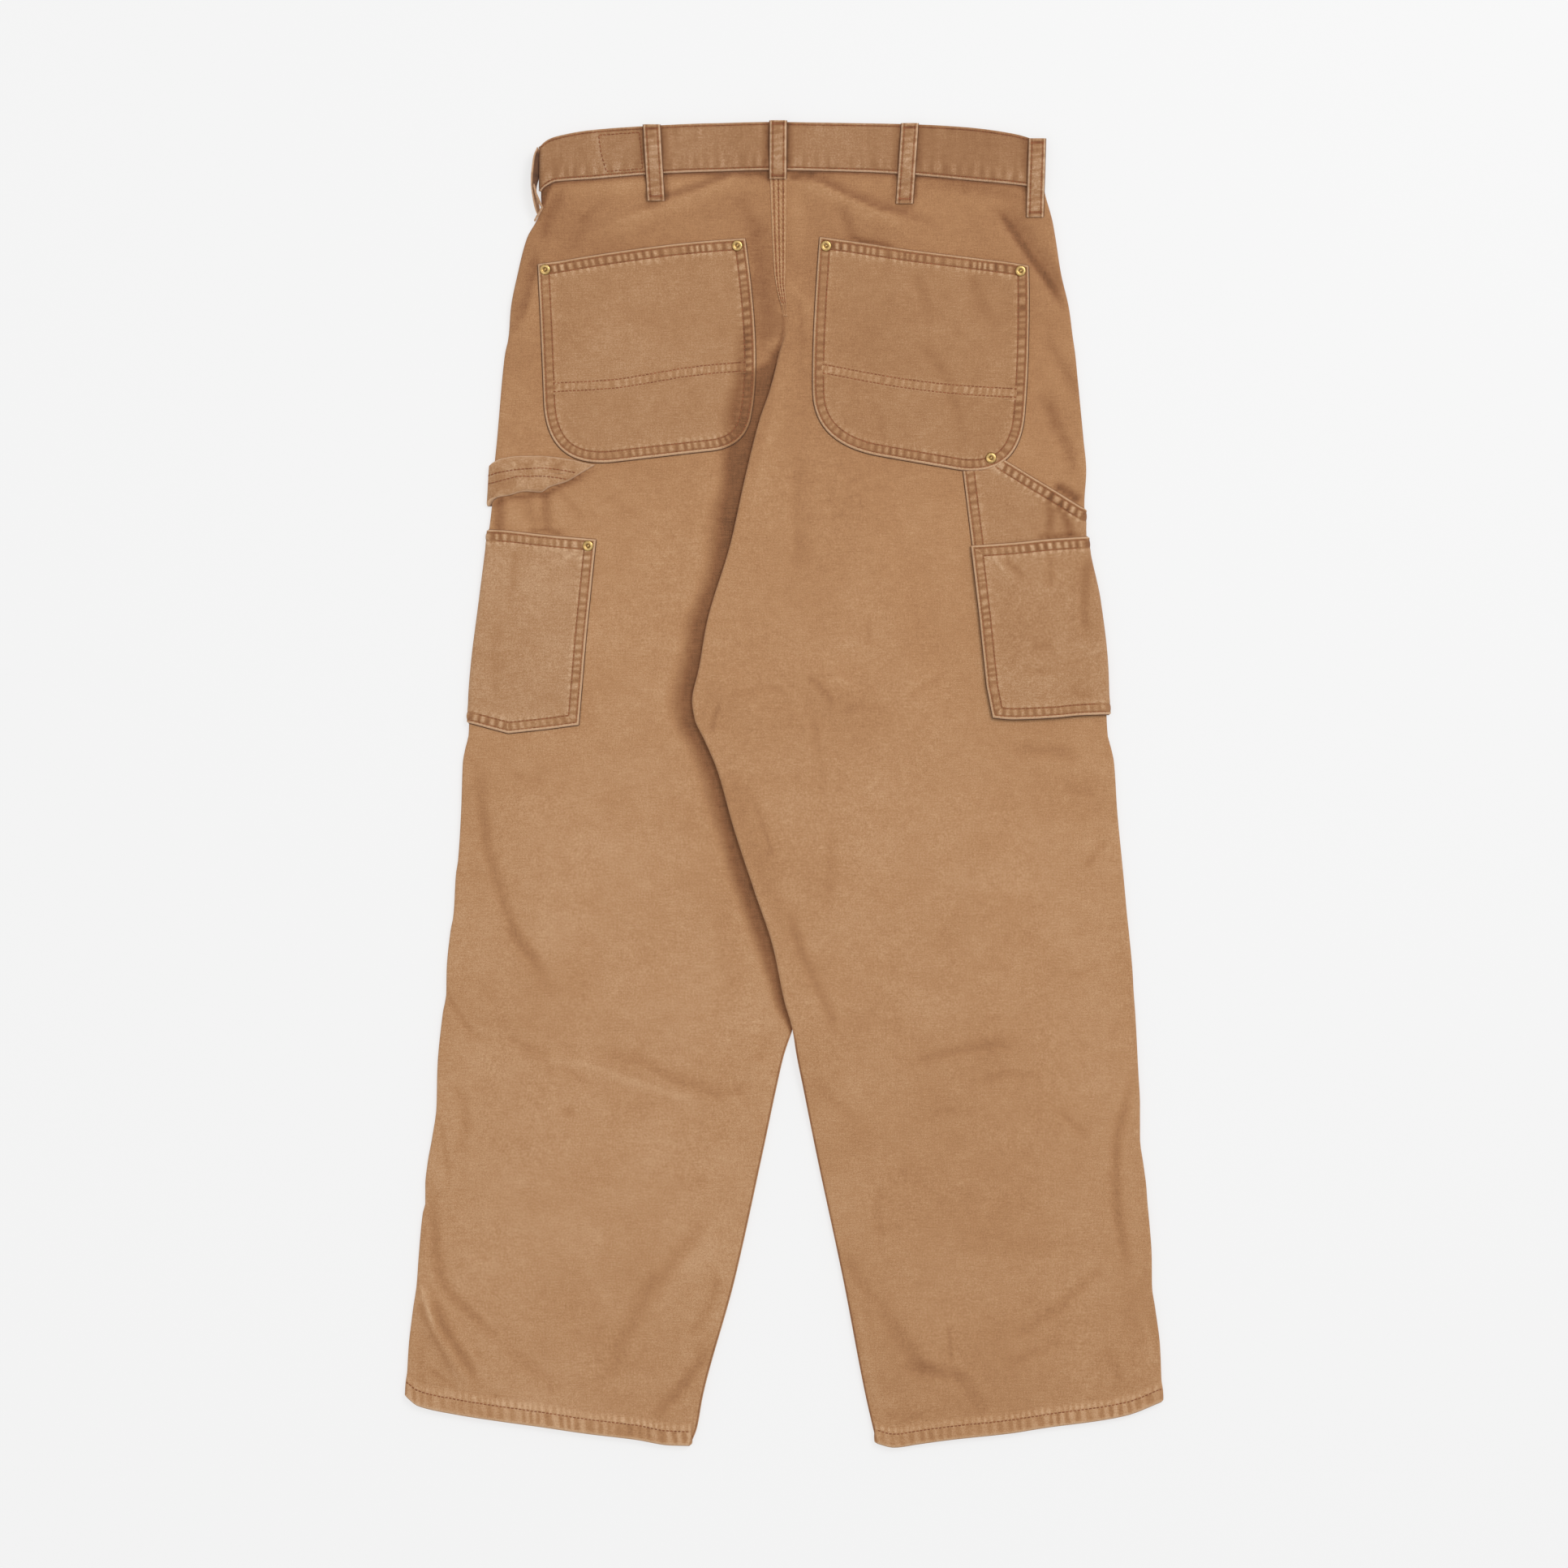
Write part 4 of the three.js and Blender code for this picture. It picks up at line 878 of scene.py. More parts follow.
def stitch_row(path, pitch=STITCH["pitch"], length=STITCH["length"], turned=False, wide=STITCH["wide"]):
    """Stitches at even steps along a path of points, or across it if turned."""
    path = np.asarray(path, float)
    run = run_length(path)
    count = max(int(run[-1] / pitch), 1)
    at = (np.arange(count) + 0.5) * run[-1] / count

    def sample(where):
        """Points of the path at lengths along it."""
        return np.stack([np.interp(where, run, path[:, k]) for k in range(3)], axis=-1)

    centres = sample(at)
    ahead = sample(at + length / 2) - sample(at - length / 2)
    along = unit(ahead)
    up = np.tile([0.0, 0.0, 1.0], (count, 1))
    across = unit(np.cross(up, along))
    up = np.cross(along, across)
    drift = 0.16 * noise(at, centres[:, 0] * 0.1, 4, 21)
    centres = centres + across * drift[:, None]
    if turned:
        along, across = across, -along
    return stitch_forms(centres, along, up, length, wide, STITCH["high"])


def sew(name, rows):
    """One joined mesh of all the stitches of a piece."""
    forms = np.concatenate(rows)
    count, size = forms.shape[:2]
    quads, ends = stitch_faces()
    shift = np.arange(count)[:, None, None] * size
    points = forms.reshape(-1, 3)
    sides = STITCH["sides"]
    # A stitch carries painted shade at both ends, where it dips into the cloth
    dips = np.concatenate([np.repeat([-0.6, 0, 0, -0.6], sides), [-0.8, -0.8]])
    return build_mesh(
        name, points, (quads[None] + shift).reshape(-1, 4), (ends[None] + shift).reshape(-1, 3),
        np.tile(dips, count), THREAD,
    )


# Leg panels

def panel_columns(step, sign, side_x, inner_x, wall):
    """Columns of a panel in each row: the angles of its rounded edge, x across the flat, and how far in
    from the edge's end its outer face, SIDE_ROUND (1 - cos angle), and its inner face lie."""
    angles = np.radians([0, 15, 30, 45, 60, 75, 90])
    bend = 1 - np.cos(angles)
    count = int(330 / step)
    share = (np.arange(count) + 1) / (count + 1)
    flat_from, flat_to = side_x - sign * SIDE_ROUND, inner_x + sign * SIDE_ROUND
    flat = flat_from + (flat_to - flat_from) * share
    outward = SIDE_ROUND * bend
    inward = wall + (SIDE_ROUND - wall) * bend
    return angles, flat, outward, inward


def leg_panel(side, face, step_x, step_y):
    """Outer and inner grids of one panel. Rows slant from the side seam to the inner edge."""
    sign = SIGN[side]
    top_x = SIDE_SEAMS[side][0]
    top_y = band_lower(top_x) - BAND_SEAM_GAP
    hem_x = SIDE_SEAMS[side][-1]
    hem_y = hem_edge[side](hem_x)
    inner_top_y = band_lower(right_inner(TOP_ROW)) - BAND_SEAM_GAP
    inner_hem_y = hem_edge[side](inner_edge[side](HEM_ROW))
    rows = np.linspace(TOP_ROW, HEM_ROW, int((TOP_ROW - HEM_ROW) / step_y))[:, None]
    share = (TOP_ROW - rows) / (TOP_ROW - HEM_ROW)
    side_y, inner_y = mix(top_y, hem_y, share), mix(inner_top_y, inner_hem_y, share)
    side_x, inner_x = side_seam[side](side_y), inner_edge[side](rows)
    roll = ease(CROTCH_ROLL["open"], CROTCH_ROLL["closed"], rows)
    angles, flat, outward, inward = panel_columns(step_x, sign, side_x, inner_x, CLOTH)
    turn_side = np.broadcast_to(np.sin(angles), (len(rows), len(angles)))
    turn_inner = mix(1, np.sin(angles[::-1]), roll)
    turn = np.concatenate([turn_side, np.ones(flat.shape), turn_inner], axis=1)
    x = np.concatenate([side_x - sign * outward, flat, inner_x + sign * outward[::-1]], axis=1)
    wall_inner = mix(outward[::-1], inward[::-1], roll)
    wall_x = np.concatenate([side_x - sign * inward, flat, inner_x + sign * wall_inner], axis=1)

    def line(start, end):
        """A straight row from the side seam to the inner edge."""
        return mix(start, end, (x - side_x) / (inner_x - side_x))

    top_bow = band_lower(x) - BAND_SEAM_GAP - line(top_y, inner_top_y)
    hem_bow = hem_edge[side](x) - line(hem_y, inner_hem_y)
    y = line(side_y, inner_y) + top_bow * ease(TOP_BOW_REACH, TOP_ROW, rows)
    y = y + hem_bow * ease(HEM_BOW_REACH, HEM_ROW, rows)
    base, top = leg_base(side, x, y), leg_top(side, x, y)
    middle = (base + top) / 2
    way = 1 if face == "back" else -1
    start = middle + way * SEAM_GAP / 2
    outer_level = top if face == "back" else base
    outer = np.stack([x, y, mix(start, outer_level, turn)], axis=-1)
    inner = np.stack([wall_x, y, mix(start, outer_level - way * CLOTH, turn)], axis=-1)
    return outer, inner


# Darker towards the waist and paler towards the hems, along y on each leg
LEG_TONE_ALONG_Y = table("y left right", [
    (490, -0.36, -0.34), (420, -0.38, -0.34), (300, -0.14, -0.18), (200, 0.06, -0.04), (60, 0.12, 0.02),
    (-80, 0.2, 0.1), (-300, 0.2, 0.06), (-500, 0.14, 0),
])
LEG_DARKEST = -1.22


def leg_wear_and_shade(side, x, y):
    """Worn colour and painted light and shade of the legs: painted light on crests, painted shade in
    troughs and the lap's painted shadow, a painted shadow under the band, a dark inseam line below the
    knee, paler lower legs.
    """
    wear_and_shade = shade_at(side, x, y) + np.interp(y, LEG_TONE_ALONG_Y["y"][::-1], LEG_TONE_ALONG_Y[side][::-1])
    wear_and_shade = wear_and_shade + 0.09 * noise(x, y, 60, 31) + 0.07 * noise(x * 0.6, y, 16, 32)
    # Painted shadow just under the band's lower edge
    wear_and_shade = wear_and_shade - 0.9 * ease(4.5, 1, band_lower(x) - y) * ease(-200, -190, x)
    inward = SIGN[side] * (x - inner_edge[side](y))
    seam = ease(0.9, 0.2, np.abs(inward - 1.1)) * ease(-196, -210, y)
    return np.maximum(wear_and_shade - 1.1 * seam, LEG_DARKEST)


def make_leg(side):
    """The two panels of a leg, back and front, each a closed cloth wall."""
    back_outer, back_inner = leg_panel(side, "back", 3.0, 2.8)
    wear_and_shade = leg_wear_and_shade(side, back_outer[..., 0], back_outer[..., 1])
    back = wall_mesh(f"leg_back_{side}", back_outer, back_inner, wear_and_shade, LEG_DUCK)
    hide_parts(f"back_{side}")
    front_outer, front_inner = leg_panel(side, "front", 7, 7)
    wear_and_shade = leg_wear_and_shade(side, front_outer[..., 0], front_outer[..., 1])
    front = wall_mesh(f"leg_front_{side}", front_outer, front_inner, wear_and_shade, LEG_DUCK)
    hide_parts(f"front_{side}")
    return back, front


# Patches

PATCH_RINGS = [0, 0.3, 0.7, 1.2, 1.7, 2.2, 2.8, 3.8, 5.0, 6.2, 7.4, 8.1, 8.7, 9.4, 10.6, 12.4, 15]
PATCH_FILL = [
    0.05, 0.1, 0.15, 0.2, 0.25, 0.3, 0.35, 0.4, 0.46, 0.52, 0.58, 0.64, 0.7, 0.77, 0.84, 0.91, 0.97,
]
# The dark line of shade round the foot of a patch: how far it stands out and how dark it is
FOOT = {"out": 0.65, "rise": 0.3, "dark": -1.6, "dark_top": -0.7}
CLOSING = curve([0, 0.3, 0.7, 1.3, 15], [0.45, 0.8, 0.96, 1, 1])
# How much of the leg's shade shows on a patch, and how dark it gets there
SHADE_ON_PATCH = {"share": 1.0, "darkest": -1.15}
PATCH_DARKEST = -1.2
ROW_APART = 6.8
PATCH_PROFILE = curve(
    [0, 0.3, 0.7, 1.3, 2.2, 3.2, 5.2, 7.2, 8.6, 10, 13, 15],
    [0.7, 1.4, 1.85, 1.95, 1.5, 1.95, 2.1, 1.9, 1.35, 1.5, 1.35, 1.25],
)
# Height of a patch inside its border
PATCH_MIDDLE = float(PATCH_PROFILE(PATCH_RINGS[-1]))
# Height of a patch's puckers
PUCKER = 0.2
ROWS_AT = (2.2, 8.6)


def inset(sides, distance, step=1.0):
    """The closed outline moved inwards, side by side, with mitred corners: its points and their place along
    the outline."""
    points, places = [], []
    start = 0.0
    tangents = [((s[1] - s[0]), (s[-1] - s[-2])) for s in sides]
    for k, line in enumerate(sides):
        run = run_length(line)
        trims = []
        for incoming, outgoing in ((tangents[k - 1][1], tangents[k][0]),
                                   (tangents[k][1], tangents[(k + 1) % len(sides)][0])):
            turn = np.arctan2(incoming[0] * outgoing[1] - incoming[1] * outgoing[0], incoming @ outgoing)
            trims.append(distance * np.tan(turn / 2))
        count = max(int(run[-1] / step), 2)
        at = trims[0] + np.arange(count) / count * (run[-1] - trims[0] - trims[1])
        base = np.stack([np.interp(at, run, line[:, c]) for c in (0, 1)], axis=-1)
        slope = np.stack([np.interp(at, run, np.gradient(line[:, c], run)) for c in (0, 1)], axis=-1)
        points.append(base + left_normal(slope) * distance)
        places.append(start + at)
        start += run[-1]
    return np.concatenate(points), np.concatenate(places)


def bars(place, across, seed, pitch=6.4):
    """Puckers of a shrunken seam: bars across it at an uneven pitch, from -1 in a furrow to 1 on a
    ridge."""
    turn = (place + 0.12 * across) / pitch + 0.5 * noise(place, seed * 3.1, 15, 41)
    wave = np.sin(2 * np.pi * turn) + 0.55 * noise(place, seed * 1.7 + across * 0.4, 2.6, 42)
    return np.tanh(1.5 * wave) * (0.72 + 0.5 * noise(place, seed * 2.3, 19, 43))


def rope(place, distance, seed):
    """The puckers between the two stitch rows of a patch, and paler blotches beyond the inner row."""
    wave = bars(place, distance, seed)
    band = ease(2.3, 3.2, distance) * ease(8.4, 7.6, distance)
    beyond = ease(14, 9.6, distance) * ease(8.6, 9.4, distance)
    return wave * band + beyond * (0.25 + 0.6 * np.maximum(wave, -0.3))


def facing(ring):
    """How far each point of a ring faces up, away from the hems: the y part of its outward normal."""
    along = np.roll(ring, -3, axis=0) - np.roll(ring, 3, axis=0)
    return -along[:, 0] / np.maximum(np.hypot(along[:, 0], along[:, 1]), 1e-6)


def side_lengths(sides, step=1.0):
    """How many points inset gives to each side."""
    return [max(int(np.linalg.norm(np.diff(line, axis=0), axis=1).sum() / step), 2) for line in sides]


def nearest_sewn(points, sides, sewn):
    """Distance of points to the nearest sewn side, their place along the outline and how far it faces
    up."""
    best = np.full(len(points), np.inf)
    place, up = np.zeros(len(points)), np.zeros(len(points))
    start = 0.0
    for k, line in enumerate(sides):
        run = run_length(line)
        if k in sewn:
            at = np.arange(0, run[-1], 0.4)
            fine = np.stack([np.interp(at, run, line[:, c]) for c in (0, 1)], axis=-1)
            slope = np.gradient(fine, axis=0)
            gaps = np.hypot(points[:, None, 0] - fine[None, :, 0], points[:, None, 1] - fine[None, :, 1])
            index = gaps.argmin(axis=1)
            gap = gaps[np.arange(len(points)), index]
            nearer = gap < best
            best = np.where(nearer, gap, best)
            place = np.where(nearer, start + at[index], place)
            up = np.where(nearer, (-slope[:, 0] / np.hypot(slope[:, 0], slope[:, 1]))[index], up)
        start += run[-1]
    return best, place, up


def patch_wear_and_shade(place, distance, seed, up=0.0):
    """Worn colour and painted light and shade of a patch: a pale worn edge, broadest at its foot, darker
    dye between the stitch rows, dark needle rows, and the puckers as painted light on ridges and painted
    shade in furrows, strongest along its top."""
    wide = 0.95 + 0.85 * np.maximum(-up, 0)
    edge = 0.9 * ease(wide + 0.4, wide - 0.2, distance)
    seam = -0.2 * ease(1.8, 2.8, distance) * ease(9.0, 8.2, distance)
    needle = -0.75 * sum(ease(0.9, 0.2, np.abs(distance - row)) for row in ROWS_AT)
    contrast = 0.6 + 0.42 * np.maximum(up, 0) + 0.1 * np.maximum(-up, 0)
    return edge + seam + needle + contrast * rope(place, distance, seed)


def patch_height(place, distance, seed):
    """Height of a patch: the profile of its border by distance from the edge, and its puckers."""
    return PATCH_PROFILE(distance) + PUCKER * rope(place, distance, seed)


def dye_mottle(x, y):
    """Uneven dye of the patches, in large and in small blotches."""
    return 0.08 * noise(x, y, 42, 52) + 0.07 * noise(x, y, 14, 53)


def patch_shade_and_mottle(side, ring):
    """Painted shade of the leg as it shows on a patch, never darker than its limit, and uneven dye."""
    x, y = ring[:, 0], ring[:, 1]
    shade = np.maximum(SHADE_ON_PATCH["share"] * shade_at(side, x, y), SHADE_ON_PATCH["darkest"])
    return shade + dye_mottle(x, y)


def make_patch(name, side, sides, seed, lift=PATCH_LIFT, worn=0.0, sewn=None):
    """A patch pocket as rings: its underside, its foot, its rounded edge, the sewn border and the middle.
    Sides that aren't sewn have no border."""
    sewn = range(len(sides)) if sewn is None else sewn
    owners = np.repeat(np.arange(len(sides)), side_lengths(sides))
    plain = ~np.isin(owners, list(sewn))
    rings, wear_and_shade_values = [], []
    last, _ = inset(sides, PATCH_RINGS[-1])
    centre = last.mean(axis=0)
    fill = [mix(last, centre, share) for share in PATCH_FILL]
    for ring in fill[::-4] + [last]:
        rings.append(skin(side, *ring.T, lift))
        wear_and_shade_values.append(np.zeros(len(ring)))
    # A ring of painted shadow round the patch's foot, lighter where it faces up
    foot = ((0, 0), (-FOOT["out"], 0.05), (-FOOT["out"], FOOT["rise"]), (-0.1, FOOT["rise"] + 0.1))
    for distance, rise in foot:
        ring, _ = inset(sides, distance)
        rings.append(skin(side, *ring.T, lift + rise))
        dark = mix(FOOT["dark"], FOOT["dark_top"], np.clip(facing(ring) * 1.2, 0, 1))
        wear_and_shade_values.append(np.where(plain, 0, dark))
    for distance in PATCH_RINGS:
        ring, places = inset(sides, distance)
        depth, up = np.full(len(ring), float(distance)), facing(ring)
        closing = np.ones(len(ring))
        if plain.any():
            depth[plain], places[plain], up[plain] = nearest_sewn(ring[plain], sides, sewn)
            closing[plain] = CLOSING(distance)
        height = patch_height(places, depth, seed) * closing
        rings.append(skin(side, *ring.T, lift + height))
        look = worn + patch_wear_and_shade(places, depth, seed, up) + patch_shade_and_mottle(side, ring)
        wear_and_shade_values.append(np.maximum(look, PATCH_DARKEST))
    for ring in fill:
        rings.append(skin(side, *ring.T, lift + PATCH_MIDDLE))
        wear_and_shade_values.append(worn + patch_shade_and_mottle(side, ring))
    return disc_mesh(name, np.stack(rings), np.stack(wear_and_shade_values), PATCH_DUCK)


def border_rows(side, sides, seed, lift=PATCH_LIFT, sewn=None):
    """The two stitch rows round a patch on its sewn sides. Beside a side that isn't sewn they run on to
    its edge."""
    sewn = range(len(sides)) if sewn is None else sewn
    stops = np.concatenate([[0], np.cumsum(side_lengths(sides))])
    rows = []
    for distance in ROWS_AT:
        points, places = inset(sides, distance)
        for k in sewn:
            index = np.arange(stops[k], stops[k + 1] + 1) % len(points)
            line, place_at = points[index].copy(), places[index].copy()
            place_at[-1] = place_at[-2]
            if (k - 1) % len(sides) not in sewn:
                line[0] = line[1] + (line[1] - line[3]) / np.hypot(*(line[1] - line[3])) * distance
            if (k + 1) % len(sides) not in sewn:
                line[-1] = line[-2] + (line[-2] - line[-4]) / np.hypot(*(line[-2] - line[-4])) * distance
            height = lift + patch_height(place_at, distance, seed)
            rows.append(stitch_row(skin(side, *line.T, height)))
    return rows


# How much a row sewn through a patch rises at its ends, and over what length
ROW_END = {"rise": 0.34, "reach": 14}


def end_rise(line):
    """How far a row sewn through a patch rises to the sewn border at either end."""
    run = run_length(line)
    near = 2 - ease(0, ROW_END["reach"], run) - ease(run[-1], run[-1] - ROW_END["reach"], run)
    return ROW_END["rise"] * near


def line_rows(side, points, lift, offsets=(0,), **options):
    """Stitch rows along a smooth line, moved off it by each offset."""
    rows = []
    line = smooth_line(points)
    normal = left_normal(np.gradient(line, axis=0))
    for offset in offsets:
        moved = line + normal * offset
        rows.append(stitch_row(skin(side, *moved.T, lift + end_rise(moved)), **options))
    return rows


def double_row_strip(name, side, points, lift, seed, width=ROW_APART):
    """The cloth between and beside two stitch rows sewn through a patch: puckered between them, and sunk
    into the patch at its edges."""
    line = smooth_line(points, 180)
    normal = -left_normal(np.gradient(line, axis=0))
    run = run_length(line)
    across = np.array([-2.6, -1.5, -0.9, -0.4, 0, 0.4, 0.9, 1.8, 3.0])
    across = np.concatenate([across, width - across[::-1]])
    depth = np.minimum(across, width - across)
    place_at = line[:, None] + normal[:, None] * across[None, :, None]
    wave = bars(run[:, None], across[None, :], seed, 6.0)
    between = ease(-0.2, 1.2, depth)[None, :]
    groove = ease(0.9, 0.1, np.abs(depth))[None, :]
    rise = ease(-2.6, -1.2, depth)[None, :] * 0.22 - 0.1
    height = lift + rise + 0.16 * wave * between - 0.2 * groove + end_rise(line)[:, None]
    x, y = place_at[..., 0], place_at[..., 1]
    outer = skin(side, x, y, height)
    inner = skin(side, x, y, lift - 0.6)
    ends = ease(0, 3, run)[:, None] * ease(run[-1], run[-1] - 3, run)[:, None]
    # Painted light and shade on the puckers and in the grooves, with the leg's painted shade
    wear_and_shade_values = ends * (0.42 * wave * between - 0.6 * groove) + shade_at(side, x, y)
    return wall_mesh(name, outer, inner, wear_and_shade_values + dye_mottle(x, y), PATCH_DUCK)


def back_pocket_sides(pocket):
    """Top edge, and the rest of the outline as one smooth side, anticlockwise."""
    top = smooth_line(pocket["top"], 60)[::-1]
    rest = np.concatenate([
        bezier(*pocket["left"]), bezier(*pocket["left_corner"])[1:], bezier(*pocket["right_corner"]),
        bezier(*pocket["right"])[1:],
    ])
    return [top, spaced(rest, 300)]


BACK_POCKETS = {
    "left": {
        "seed": 3,
        "worn": 0.0,
        "top": [(-197, 416), (-186, 417.5), (-160, 422), (-120, 428), (-80, 433), (-50, 435.6),
                (-31.2, 436.8)],
        "left": [(-197, 416), (-194, 356), (-192.2, 305)],
        "left_corner": [(-192.2, 305), (-189.5, 253), (-138, 257.8)],
        "right_corner": [(-62, 266.5), (-31, 268.5), (-26.4, 295)],
        "right": [(-26.4, 295), (-17.5, 340), (-31.2, 436.8)],
    },
    "right": {
        "seed": 5,
        "worn": -0.12,
        "top": [(28.6, 438), (60, 433.6), (100, 427.6), (140, 422.6), (180, 417.4), (195.7, 414.7)],
        "left": [(28.6, 438), (22, 352), (23.2, 312)],
        "left_corner": [(23.2, 312), (25, 273), (72, 263.5)],
        "right_corner": [(138, 252), (190, 243.5), (193, 300)],
        "right": [(193, 300), (197, 350), (195.7, 414.7)],
    },
}
REINFORCEMENTS = {
    "left": [(-188.5, 320.8), (-141, 323.4), (-110.6, 327.7), (-84, 332.3), (-57, 335.7), (-30.5, 337.9)],
    "right": [(29, 336), (54, 331.5), (88, 325.6), (125, 320.6), (150, 318.5), (187, 316.3)],
}


def make_back_pocket(side):
    """A back pocket with its sewn border, the double row across it and their stitches."""
    pocket = BACK_POCKETS[side]
    seed = pocket["seed"]
    sides = back_pocket_sides(pocket)
    patch = make_patch(f"pocket_back_{side}", side, sides, seed, worn=pocket["worn"])
    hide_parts(f"back_pocket_{side}")
    inside = PATCH_LIFT + PATCH_MIDDLE
    double_row_strip(f"pocket_back_{side}_rows", side, REINFORCEMENTS[side], inside, seed + 20)
    rows = border_rows(side, sides, seed)
    rows += line_rows(side, REINFORCEMENTS[side], inside - 0.05, (0, -ROW_APART))
    sew(f"stitches_pocket_back_{side}", rows)
    return patch


def seam_x(side, y):
    """x of the side seam unrolled: the end of the rounded side."""
    half = (2 * CLOTH + LEG_SLACK + SOFT_RISE) / 2
    return side_seam[side](y) + SIGN[side] * (rim_length(half) - SIDE_ROUND)


def seam_line(side, start_y, end_y):
    """Places along the unrolled side seam from start_y to end_y."""
    y = np.linspace(start_y, end_y, 40)
    return np.stack([seam_x(side, y), y], axis=-1)


def sew_side_pocket(name, node, side, sides, seed, sewn, lift=PATCH_LIFT, worn=0.0):
    """A pocket that ends in the side seam, with stitches along its sewn sides."""
    pocket = make_patch(name, side, sides, seed, lift, worn, sewn)
    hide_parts(node)
    sew(f"stitches_{name}", border_rows(side, sides, seed, lift, sewn))
    return pocket


def make_utility_left():
    """The left utility pocket: sewn all round but at the side seam, where it ends."""
    side = "left"
    edge = seam_line(side, 203.6, 49.4)
    lower = spaced([edge[-1], (-237.4, 45), (-220.8, 40.6)], 24)
    foot_line = spaced([(-220.8, 40.6), (-189.3, 44), (-164.5, 47.3)], 30)
    right = spaced([(-164.5, 47.3), (-158.6, 118), (-150.7, 195.7)], 70)
    upper = smooth_line([(-150.7, 195.7), (-193, 199.5), (-225, 203), edge[0]], 50)
    sides = [edge, lower, foot_line, right, upper]
    return sew_side_pocket(
        "pocket_utility_left", "utility_pocket_left", side, sides, seed=7, sewn=(1, 2, 3, 4), worn=0.22,
    )


# Height at which the right utility pocket lies on the ruler pocket, and the ruler pocket on the leg
RULER_TOP = 1.9
RULER_LIFT = 0.1


def make_utility_right():
    """The right utility pocket. It lies over the ruler pocket and ends in the side seam."""
    side = "right"
    edge = seam_line(side, 55.8, 197.9)
    upper = smooth_line([edge[-1], (211, 195.7), (184.6, 193), (149.8, 190.5)], 50)
    left = spaced([(149.8, 190.5), (156.5, 134), (162.3, 78), (167.2, 53)], 70)
    foot_line = smooth_line([(167.2, 53), (183, 51.7), (216, 53), (237.7, 55), edge[0]], 50)
    sides = [edge, upper, left, foot_line]
    return sew_side_pocket(
        "pocket_utility_right", "utility_pocket_right", side, sides, seed=9, sewn=(1, 2, 3),
        lift=RULER_TOP, worn=0.1,
    )


def make_ruler_pocket():
    """The ruler pocket: its slanted mouth and its inner side are sewn, the rest is plain."""
    side = "right"
    edge = seam_line(side, 59, 219.5)
    mouth = smooth_line([edge[-1], (237.3, 222.2), (220.4, 232.7), (199, 245.6), (176.5, 259.5)], 60)
    under_pocket = spaced([(176.5, 259.5), (168, 254.4), (158, 251.2), (143.5, 250.6)], 20)
    seam = spaced([(143.5, 250.6), (151, 190), (157.5, 134), (163.5, 78), (168.5, 58)], 90)
    foot_line = spaced([(168.5, 58), (216, 57), edge[0]], 40)
    sides = [edge, mouth, under_pocket, seam, foot_line]
    return sew_side_pocket(
        "pocket_ruler", "ruler_pocket", side, sides, seed=13, sewn=(1, 3), lift=RULER_LIFT,
    )


HAMMER_PROFILE = curve([0, 0.4, 1, 2, 4, 8, 15], [0.6, 1.3, 1.8, 1.9, 1.9, 1.85, 1.8])
# Heights of the strap's underside, top, stitch rows and bulge, and how far it stands off the side seam
HAMMER = {"lift": 0.2, "thick": 1.9, "rows_at": 2.0, "bulge": 0.9, "off_seam": 2.6}
# Its rings: how deep the outer ones lie in it, and how far the others lie towards its middle line
HAMMER_DEPTHS = [0, 0.3, 0.7, 1.2, 1.8, 2.6]
HAMMER_FILL = (0.3, 0.55, 0.75, 0.9)


